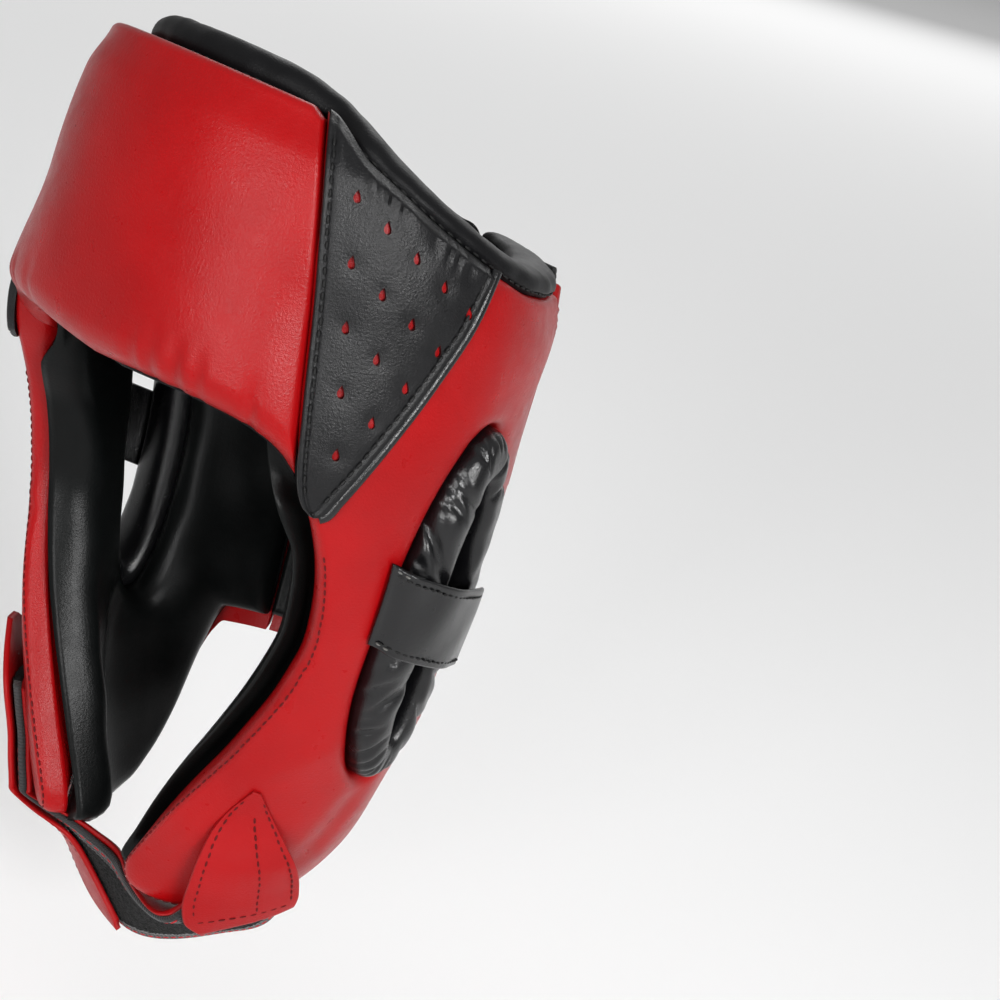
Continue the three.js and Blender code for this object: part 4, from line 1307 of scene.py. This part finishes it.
def strap_place(path, limits, end, at, t, offset):
    """Pattern place on a strap: at along it, t down it, and offset out of its middle."""
    length = strap_length(path)
    theta, h = cubic(length, path, at).T
    run = unit((cubic(length, path, at + STEP) - cubic(length, path, at - STEP)) * ON_WALL)
    top, low = limits(theta)
    left = np.maximum(length[-1] - at, 0)
    trim = np.where(left < end, end - np.sqrt(np.maximum(0, end**2 - (end - left) ** 2)), 0)
    return theta - run[:, 1] / MM_PER_DEGREE * offset, mix(top + trim, low - trim, t), h + run[:, 0] * offset


def side_of(path):
    """1 where a path runs towards larger theta, else -1."""
    return 1 if path[-1][0] > path[0][0] else -1


def strap(name, path, limits, columns, rows, finish, nodes, shape, end=0):
    """Leather strap with softened edges; shape lifts its two faces by place."""
    whole = strap_length(path)[-1]
    obj, s, t, top = cut(name, columns, rows, (0.55, 0.6))
    at = s * whole
    high, low = limits(cubic(strap_length(path), path, at)[:, 0])
    tall = np.abs(low - high)
    soft = rolled(np.minimum(from_side(t) * tall, from_side(s) * whole), LEATHER * 0.45)
    offset = np.where(top, 1, -1) * side_of(path) * (LEATHER / 2 - np.minimum(soft, LEATHER * 0.42))
    offset = offset + side_of(path) * shape(at, t, tall, top, whole)
    set_points(obj, on_form(*strap_place(path, limits, end, at, t, offset)))
    keep_pattern(obj, at, t * tall)
    return finish_piece(obj, finish, nodes)


def strap_line(path, thick, limits, share, t):
    """Line on a strap's outer face for stitches, at shares along and down it."""
    at = share * strap_length(path)[-1]
    t = np.broadcast_to(t, at.shape)
    low, high = (on_form(*strap_place(path, limits, 0, at, t, side_of(path) * d))
                 for d in (thick / 2 - 0.1, thick / 2 + 0.9))
    return low, unit(high - low)


print("strap leather:", LEATHER, "mm")

# %% [markdown]
# ## Ear bridges
# A flat black leather band crosses each ear cushion. It starts on the pad in front of the ear, climbs over
# the cushion's edge and bellies a little where nothing holds it. It is sewn along both edges, and its front
# corners are tacked with grey thread. Both bridges come from one path, with its angles turned round for the
# right ear.

# %% Ear bridges
EAR_STRAP = [[68.4, 1.4], [70, 1.8], [72.4, 4.9], [76, 6.3], [82, 6.8], [89, 7.1], [95, 7.3], [100, 7.4]]
EAR_STRAP_THETA, EAR_STRAP_TOP, EAR_STRAP_LOW = 72, 107, 133.5
EDGE_RUN, TACK_RUN = np.linspace(0.04, 0.97, 60), np.linspace(0.03, 0.15, 12)


def ear_limits(theta):
    rearward = np.abs(theta) - EAR_STRAP_THETA
    return EAR_STRAP_TOP + rearward * 0.3, EAR_STRAP_LOW + rearward * 0.36


def slack(at, t, tall, top, whole):
    """The bridge bellies a little between its sewn ends."""
    return 0.5 * np.sin(np.pi * t) * ease(0.25, 0.6, at / whole) + 0.25 * np.sin(at * 0.33 + 5 * t)


for side_name, sign in SIDES:
    path = [[sign * theta, h] for theta, h in EAR_STRAP]
    strap("ear_bridge_" + side_name, path, ear_limits, 90, 46, SHINY_BLACK,
          ["ear_strap_" + side_name], slack)
    edges = [strap_line(path, LEATHER + 0.6, ear_limits, EDGE_RUN, t) for t in (0.09, 0.91)]
    stitches("ear_bridge_stitches_" + side_name, BLACK_THREAD, edges, pitch=2.6, long=1.9,
             thick=0.36)
    tacks = [strap_line(path, LEATHER + 0.5, ear_limits, TACK_RUN, t) for t in (0.05, 0.93)]
    stitches("ear_tack_stitches_" + side_name, PALE_THREAD, tacks, pitch=2.0, long=1.5,
             thick=0.34)
print("ear bridges:", finished[-6:])

# %% [markdown]
# ## Rear straps
# Two wide straps close the back. Each has a panel of loop pile sewn under one webbing, and a red flap, lined
# with hooks, that passes round the other webbing and folds back over the pile. The pile's edge is bound with
# dark tape and sewn with red thread. The lower strap is the upper one mirrored, so both come from one list,
# and the tape is a second finish on the pile's own faces, because a separate strip would have to be fitted.

# %% Flap and pile paths
STRAP_TALL, STRAP_FOLD, FLAP_END, FLAP_SEAM, SEAM_START = 76, 132, 14, 3.2, 0.36
UPPER_TOP, LOWER_TOP = 18, 104
FOLD = [[151, -1.3], [146, -1.3], [140, -1.2], [136.6, -0.9], [135.1, 0.7], [136.6, 2.3], [140.6, 2.8],
        [147, 2.8]]
FLAP = FOLD + [[theta, 2.5] for theta in (155, 163, 170, 175, 179, 182, 184.4, 185.6)]
LOOP_THETA = (136.6, 141, 147, 154, 161, 168, 175, 182, 188)
LOOP = [[360 - theta, -0.9 + float(ease(150, 188, theta))] for theta in LOOP_THETA]
EDGING_WIDE, FELT_TOP, FELT_SIDE = 4.2, 4.0, 0.5


def mirrored(path):
    return [[360 - theta, h] for theta, h in path]


def upper_limits(theta):
    top = UPPER_TOP + (theta - STRAP_FOLD) * 0.06
    return top, top + STRAP_TALL


def lower_limits(theta):
    return LOWER_TOP + 0 * theta, LOWER_TOP + STRAP_TALL + (theta - STRAP_FOLD) * 0.04


def inset(limits, above, below):
    def drawn_in(theta):
        top, low = limits(theta)
        return top + above, low - below
    return drawn_in


print("flap length, mm:", round(strap_length(FLAP)[-1]))

# %% Flap and pile shapes
def flap_shape(at, t, tall, top, whole):
    """Slight waves in a flap, and the pressed line of its stitching."""
    edge = np.minimum(from_side(t) * tall, whole - at)
    sunk = 0.3 * bell(edge, FLAP_SEAM, 0.9) * ease(0.32, 0.4, at / whole)
    return 0.5 * np.sin(at * 0.07 + 2.2 * t) * ease(0.4, 0.6, at / whole) - np.where(top, sunk, 0)


def pile_shape(seed):
    """Raised felt inside the flat edging, rough to the touch."""
    def shape(at, t, tall, top, whole):
        field = ease(EDGING_WIDE - 0.6, EDGING_WIDE + 0.5, from_side(t) * tall)
        rough = np.random.default_rng(seed).uniform(-1, 1, len(at))
        return np.where(top, field * (0.35 + 0.3 * rough), 0)
    return shape


def edging_faces(obj, tall):
    """Gives the faces near the long edges the edging tape."""
    pattern = obj.data.uv_layers.active.data
    obj.data.materials.append(EDGING)
    for face in obj.data.polygons:
        across = np.mean([pattern[k].uv.y for k in face.loop_indices]) / MM
        if min(across, tall - across) < EDGING_WIDE:
            face.material_index = 1


def flap_edge(length):
    """Stitch line of a flap: along its top, round its free end and back along its bottom."""
    far = 1 - FLAP_SEAM / length
    corner = FLAP_END / length
    run = np.linspace(SEAM_START, far - corner, 60)
    turn = np.linspace(0, np.pi / 2, 16)
    low = FLAP_SEAM / STRAP_TALL
    inner = (FLAP_END - FLAP_SEAM) / STRAP_TALL
    s = [run, far - corner + corner * np.sin(turn), np.full(40, far),
         far - corner + corner * np.cos(turn), run[::-1]]
    t = [np.full(60, low), low + inner * (1 - np.cos(turn)), np.linspace(low + inner, 1 - low - inner, 40),
         1 - low - inner * (1 - np.sin(turn)), np.full(60, 1 - low)]
    return np.concatenate(s), np.concatenate(t)


print("points of a flap's stitch line:", len(flap_edge(strap_length(FLAP)[-1])[0]))

# %% Flaps and loop panels
REAR_STRAPS = (
    # name, flap, loop panel, limits, felt margin at the top, seed
    ("upper", FLAP, LOOP, upper_limits, FELT_TOP, 61),
    ("lower", mirrored(FLAP), mirrored(LOOP), lower_limits, FELT_SIDE, 62),
)
FELT_RUN = np.linspace(0.06, 0.94, 80)
for name, flap, loop, limits, margin, seed in REAR_STRAPS:
    flap_name, felt_name = name + "_flap_leather", name + "_loop_felt"
    strap(flap_name, flap, limits, 140, 70, RED_STRAP, [name + "_flap"], flap_shape, FLAP_END)
    felt_limits = inset(limits, margin, FELT_SIDE)
    felt = strap(felt_name, loop, felt_limits, 120, 112, LOOP_PILE, [name + "_loop_panel"],
                 pile_shape(seed))
    edging_faces(felt, STRAP_TALL - FELT_SIDE - margin)
    line = strap_line(flap, LEATHER - 0.2, limits, *flap_edge(strap_length(flap)[-1]))
    stitches(flap_name + "_stitches", RED_THREAD, [line], pitch=2.9, long=2.2, slant=0.25)
    rows = [strap_line(loop, LEATHER - 0.1, felt_limits, FELT_RUN, t) for t in (0.05, 0.95)]
    stitches(felt_name + "_stitches", RED_THREAD, rows, pitch=3.4, long=2.8, thick=0.3)
print("rear straps:", finished[-8:])

# %% [markdown]
# ## Tapes
# A tape is a ladder of rungs: each rung places a point from its way across and its height. A smooth curve
# runs through all the rungs, so a tape can leave the wall, cross the opening and be sewn down again on the
# far side. A curve object with a flat bevel would twist on such a way. The weave is real relief as well as
# bump, because tape edges show against the light.

# %% Band maker
WEB_THICK, WEB_WIDE, WEB_THETA = 1.4, 10, 140
LANES = 6


def rung_lengths(rungs):
    return lengths(np.array([rung(0.0, 0.0) for rung in rungs]))


def ladder(rungs, wide, t, w, offset):
    """Points of a band through its rungs, and the ways out: t along it, w from -0.5 to 0.5 across it."""
    length = rung_lengths(rungs)
    lanes = np.linspace(-0.5, 0.5, LANES + 1)
    widths = np.broadcast_to(wide, (len(rungs),))
    faces = [[[rung(lane * width, lift) for lane in lanes] for rung, width in zip(rungs, widths)]
             for lift in (0.0, 1.0)]
    low, high = (cubic(length, face, t * length[-1]) for face in faces)
    lane = np.clip((w + 0.5) * LANES, 0, LANES - 1e-6)
    i = lane.astype(int)
    part = (lane - i)[:, None]
    rows = np.arange(len(t))
    base = low[rows, i] * (1 - part) + low[rows, i + 1] * part
    out = unit(high[rows, i] * (1 - part) + high[rows, i + 1] * part - base)
    return base + out * np.asarray(offset)[:, None], out


def band(name, rungs, wide, thick, base, columns, rows, finish, nodes, raised=None):
    """Flat band through rungs, with softened edges; raised may lift its faces by place."""
    obj, s, t, top = cut(name, columns, rows, (0.5, 0))
    broad = np.max(wide)
    whole = rung_lengths(rungs)[-1]
    soft = np.minimum(rolled(from_side(s) * broad, thick * 0.45), thick * 0.4)
    height = np.where(top, thick - soft, soft)
    if raised:
        height = height + raised(t * whole, s * broad, top, broad)
    set_points(obj, ladder(rungs, wide, t, s - 0.5, base + height)[0])
    keep_pattern(obj, t * whole, s * broad)
    return finish_piece(obj, finish, nodes)


def band_line(rungs, wide, base, s, low, high):
    """Line along a band's outer face at a share of its width."""
    t = np.linspace(low, high, 160)
    return ladder(rungs, wide, t, np.full(160, s - 0.5), np.full(160, base))


def weave_relief(along, across, top, broad):
    """Over and under of the tape's cords."""
    lift = np.abs(np.sin(along * np.pi / 1.8)) * (0.6 + 0.4 * np.abs(np.sin(across * np.pi / 1.4)))
    return np.where(top, 0.22, -0.22) * (lift - 0.5)


def wall_rung(sign, theta, v, h):
    """Rung that lies across the wall."""
    def rung(w, offset):
        return on_form(sign * (theta - w / per_degree(theta, v)), v, h + offset)
    return rung


print("webbing:", WEB_WIDE, "mm wide")

# %% [markdown]
# ## Rear webbing
# A narrow woven tape runs down each side of the back, and the rear straps are sewn under it or pass round it.
# It lies on the wall all the way, so its rungs are places on the form, a little lower at both ends, where the
# tape is sewn in.

# %% Rear webbing
WEB_LIFT = -0.1
WEB_PATH = [[13.5, -0.4], [16.2, -0.2],
            *([v, WEB_LIFT] for v in (18, 25, 32, 45, 62, 80, 99, 115, 130, 145, 160, 173, 183)),
            [186, -0.3], [187, -0.4]]
for side_name, sign in SIDES:
    rungs = [wall_rung(sign, WEB_THETA, v, h) for v, h in WEB_PATH]
    band("rear_web_" + side_name, rungs, WEB_WIDE, WEB_THICK, 0.0, 18, 330, WEBBING,
         ["webbing_" + side_name], weave_relief)
print("rear webbing:", finished[-2:])

# %% [markdown]
# ## Chin strap
# The strap starts under a pointed red tab on the left cheek, goes under the chin and up the right cheek. Its
# outer face is loop pile with a narrow red edge, and a red pull with a pointed end closes over it on the
# right. The strap hangs free under the chin, so its rungs there are set in the air one by one. The strap, the
# pile and the pull are three bands on the same rungs, each further out, which keeps them from crossing.

# %% Chin rungs
CHIN_WIDE, LOOP_THICK, LOOP_GAP, PULL_GAP = 36, 1.4, 1.2, 1.3
CHIN = [
    # x, y, z of the middle, way across, way out
    [40.5, -23.5, -246, -0.34, -0.9, 0.1, 0.88, -0.4, -0.24],
    [28, -23, -252.8, -0.3, -0.84, 0.3, 0.62, -0.52, -0.58],
    [13, -21.5, -260.5, -0.16, -0.72, 0.6, 0.34, -0.68, -0.64],
    [0, -21, -264, 0, -0.62, 0.78, 0, -0.78, -0.62],
]
CHIN_TURN, CHIN_TURN_MOST, CHIN_TURN_RUN, CHIN_TURN_BACK = 16, 24, 40, 0.65
PULL_TIP_LOW = -13


def under_rung(x, y, z, across, out):
    """Rung in the air under the chin, turned to the front towards the right and back again at the cheek."""
    turn = min(CHIN_TURN_MOST, CHIN_TURN * (1 - x / CHIN_TURN_RUN))
    turn = math.radians(turn * (1 - CHIN_TURN_BACK * float(ease(24, 41, -x))))
    across, out = unit(np.array(across, float)), unit(np.array(out, float))
    across, out = (across * math.cos(turn) - out * math.sin(turn),
                   out * math.cos(turn) + across * math.sin(turn))

    def rung(w, offset):
        return np.array([x, y, z + HEAD_TOP]) + across * w + out * offset
    return rung


def slid(rung, by):
    """The same rung moved across the band."""
    return lambda w, offset: rung(w + by, offset)


chin_near = [under_rung(*row[:3], row[3:6], row[6:9]) for row in CHIN]
chin_far = [under_rung(-row[0], row[1], row[2], [-row[3], *row[4:6]], [-row[6], *row[7:9]])
            for row in reversed(CHIN[:3])]
far_cheek = [wall_rung(-1, float(mix(60, 64, ease(204, 242, v))), v, float(mix(0.5, 1.4, ease(218, 236, v))))
             for v in (236, 228, 220, 212, 204)]
chin_rungs = [wall_rung(1, 66, 218, 0.5), wall_rung(1, 66, 227, 0.5), wall_rung(1, 65, 236, 1.6),
              *chin_near, *chin_far, *far_cheek]
pull_rungs = [slid(chin_near[3], PULL_TIP_LOW), slid(chin_far[0], PULL_TIP_LOW / 3), *chin_far[1:],
              *far_cheek, wall_rung(-1, 59, 197, 0.5), wall_rung(-1, 58, 189, 0.8)]
print("chin strap length, mm:", round(rung_lengths(chin_rungs)[-1]))

# %% Chin strap and pull
PULL_WIDE = [4, 25, 34, 34, 34, 34, 34, 34, 34, 22, 5]
STRAP_WIDE = [20, 26, 32] + [CHIN_WIDE] * (len(chin_rungs) - 3)
FELT_WIDE = [wide - 2 for wide in STRAP_WIDE]
FELT_MARGIN, FELT_SEED = 3.4, 71
LOOP_BASE = LEATHER + 0.1
PULL_BASE = LEATHER + LOOP_GAP + LOOP_THICK + PULL_GAP
PULL_FACE = PULL_BASE + LEATHER - 0.25
FELT_FACE = LOOP_BASE + LOOP_THICK + LOOP_GAP - 0.15


def felt_relief(along, across, top, broad):
    """Rough pile inside its flat margin."""
    field = ease(FELT_MARGIN - 0.5, FELT_MARGIN + 0.6, np.minimum(across, broad - across))
    return np.where(top, field * (0.3 + 0.3 * np.random.default_rng(FELT_SEED).uniform(-1, 1, len(along))), 0)


def soft_waves(along, across, top, broad):
    return 0.35 * np.sin(along * 0.11 + 1.0) * np.sin(across * 0.09)


band("chin_band", chin_rungs, STRAP_WIDE, LEATHER, 0.0, 30, 210, RED_STRAP, ["chin_strap"])
chin_felt = band("chin_loop_felt", chin_rungs, FELT_WIDE, LOOP_THICK + LOOP_GAP - 0.1, LOOP_BASE, 56, 330,
                 LOOP_PILE, ["chin_loop"], felt_relief)
edging_faces(chin_felt, CHIN_WIDE - 2)
band("chin_pull", pull_rungs, PULL_WIDE, LEATHER, PULL_BASE, 30, 190, RED_STRAP,
     ["chin_tab_right"], soft_waves)
pull_lines = [band_line(pull_rungs, PULL_WIDE, PULL_FACE, s, 0.1, 0.94) for s in (0.09, 0.91)]
stitches("chin_pull_stitches", DARK_RED_THREAD, pull_lines, pitch=2.8, thick=0.38)
felt_lines = [band_line(chin_rungs, FELT_WIDE, FELT_FACE, s, 0.14, 0.86) for s in (0.05, 0.95)]
stitches("chin_felt_stitches", RED_THREAD, felt_lines, long=2.4, thick=0.34)
print("chin band pieces:", finished[-5:])

# %% [markdown]
# ## Cheek tab
# A pointed red tab on the left cheek holds the near end of the chin strap. It lies flat at its tip and rises
# over the strap's layers further down. Its two edges bend in different ways, so it is a cut between two lines
# from a table, as the temple patch is, and its seams are lines at set shares of its width and length.

# %% Cheek tab
TAB = [
    # share of the way down, front theta, front v, rear theta, rear v, lift
    [0, 53.6, 186, 55.4, 186.5, 0.5], [0.2, 49.5, 195, 60, 194, 0.5], [0.4, 46.6, 205, 66, 203, 2.8],
    [0.6, 45.6, 216, 72, 212, 6], [0.8, 46, 227, 77, 221, 6.6], [0.93, 49, 236, 80, 227.5, 7.6],
    [1, 56, 241, 81, 231, 8],
]
TAB_WIDE, TAB_TALL, TAB_SEAM = 40, 55, 0.62
tab_columns = columns_of(TAB)


def tab_place(s, t):
    front_theta, front_v, rear_theta, rear_v, lift = (column(t) for column in tab_columns)
    return mix(front_theta, rear_theta, s), mix(front_v, rear_v, s), lift


def tab_leather():
    obj, s, t, top = cut("cheek_tab_leather", 60, 72, (0.6, 0.5))
    theta, v, lift = tab_place(s, t)
    edge = np.hypot(rolled(from_side(s) * TAB_WIDE, CUT_EDGE), rolled(from_side(t) * TAB_TALL, CUT_EDGE))
    soft = np.minimum(edge, 0.75)
    sunk = 0.2 * bell(s, TAB_SEAM, 0.02) * ease(0.2, 0.3, t)
    lay(obj, theta, v, lift + np.where(top, LEATHER - soft - sunk, soft), (0.3, 30, 81))
    keep_pattern(obj, s * TAB_WIDE, t * TAB_TALL)
    finish_piece(obj, RED_STRAP, ["chin_tab_left"])


def tab_line(s, t):
    s, t = np.broadcast_arrays(np.asarray(s, float), np.asarray(t, float))
    theta, v, lift = tab_place(s, t)
    return on_form(theta, v, lift + LEATHER - 0.1), out_of_form(theta, v)


tab_leather()
down = np.linspace(0.08, 0.9, 70)
tab_rows = [tab_line(0.1, down), tab_line(0.92, down), tab_line(np.linspace(0.1, 0.9, 50), 0.93),
            tab_line(TAB_SEAM, np.linspace(0.22, 0.92, 60))]
stitches("cheek_tab_stitches", DARK_RED_THREAD, tab_rows, pitch=2.8, thick=0.38)
print("cheek tab:", finished[-2:])

# %% [markdown]
# ## Crown webbing
# Two soft tapes cross the top opening, sewn to the lining at the front, the back and both sides. They set how
# deep the guard sits on a head. They are bands like the chin strap, with a little sag between their sewn
# ends, which a straight strip would not have.

# %% Crown tapes
CROWN_WIDE, CROWN_SLOPE = 22, 0.286
LONG_FRONT_Z, LONG_REAR_Z, LONG_SAG, CROSS_SAG = -17, -47, 5.8, 1.6
INSIDE = -PAD - GAP - LINING - LEATHER_GAP
CROSS_INSIDE = INSIDE - 0.6
REAR_INSIDE = REAR_LINING - 2 * LEATHER_GAP


def sewn(theta, v, h):
    """Rung sewn to the lining at the front or a side."""
    spread = 1 if theta in (0, 90) else -1

    def rung(w, offset):
        return on_form(theta + spread * w / per_degree(theta, v), v, h - WEB_THICK + offset)
    return rung


def sewn_behind(v):
    def rung(w, offset):
        theta = 180 - w / per_degree(180, v)
        return on_form(theta, v, REAR_INSIDE + lap_shift(theta) - WEB_THICK + offset)
    return rung


def long_rung(share):
    front, rear = on_form(0, 17, INSIDE), on_form(180, 22, REAR_INSIDE + lap_shift(180))
    z = mix(LONG_FRONT_Z, LONG_REAR_Z, share) - LONG_SAG * math.sin(math.pi * share)

    def rung(w, offset):
        return np.array([w, mix(front[1], rear[1], share), z + HEAD_TOP + offset])
    return rung


def cross_rung(share):
    far, near = on_form(-90, 34, INSIDE), on_form(90, 34, INSIDE)
    z = CROSS_SAG - CROSS_SAG * math.sin(math.pi * share)

    def rung(w, offset):
        return np.array([mix(far[0], near[0], share), w, z + offset - CROWN_SLOPE * w])
    return rung


long_rungs = [sewn(0, 34, INSIDE), sewn(0, 24, INSIDE),
              *(long_rung(k) for k in (0.06, 0.2, 0.4, 0.6, 0.8, 0.94)), sewn_behind(30), sewn_behind(42)]
cross_rungs = [sewn(-90, 52, CROSS_INSIDE), sewn(-90, 42, CROSS_INSIDE),
               *(cross_rung(k) for k in (0.05, 0.2, 0.4, 0.6, 0.8, 0.95)),
               sewn(90, 42, CROSS_INSIDE), sewn(90, 52, CROSS_INSIDE)]
for name, rungs in (("long", long_rungs), ("cross", cross_rungs)):
    band("crown_web_" + name, rungs, CROWN_WIDE, WEB_THICK, 0.0, 30, 200, WEBBING,
         ["crown_strap_" + name], weave_relief)
print("crown tapes:", finished[-2:])

# %% [markdown]
# ## Sizes
# The last cell counts the pieces and their triangles, prints the frame's box and closes the lesson.

# %% Measure and finish
print("pieces:", len(finished), "triangles:", sum(count for _, count in finished))
print("frame box, mm:", [[round(x / MM, 1) for x in c] for c in cad_box])
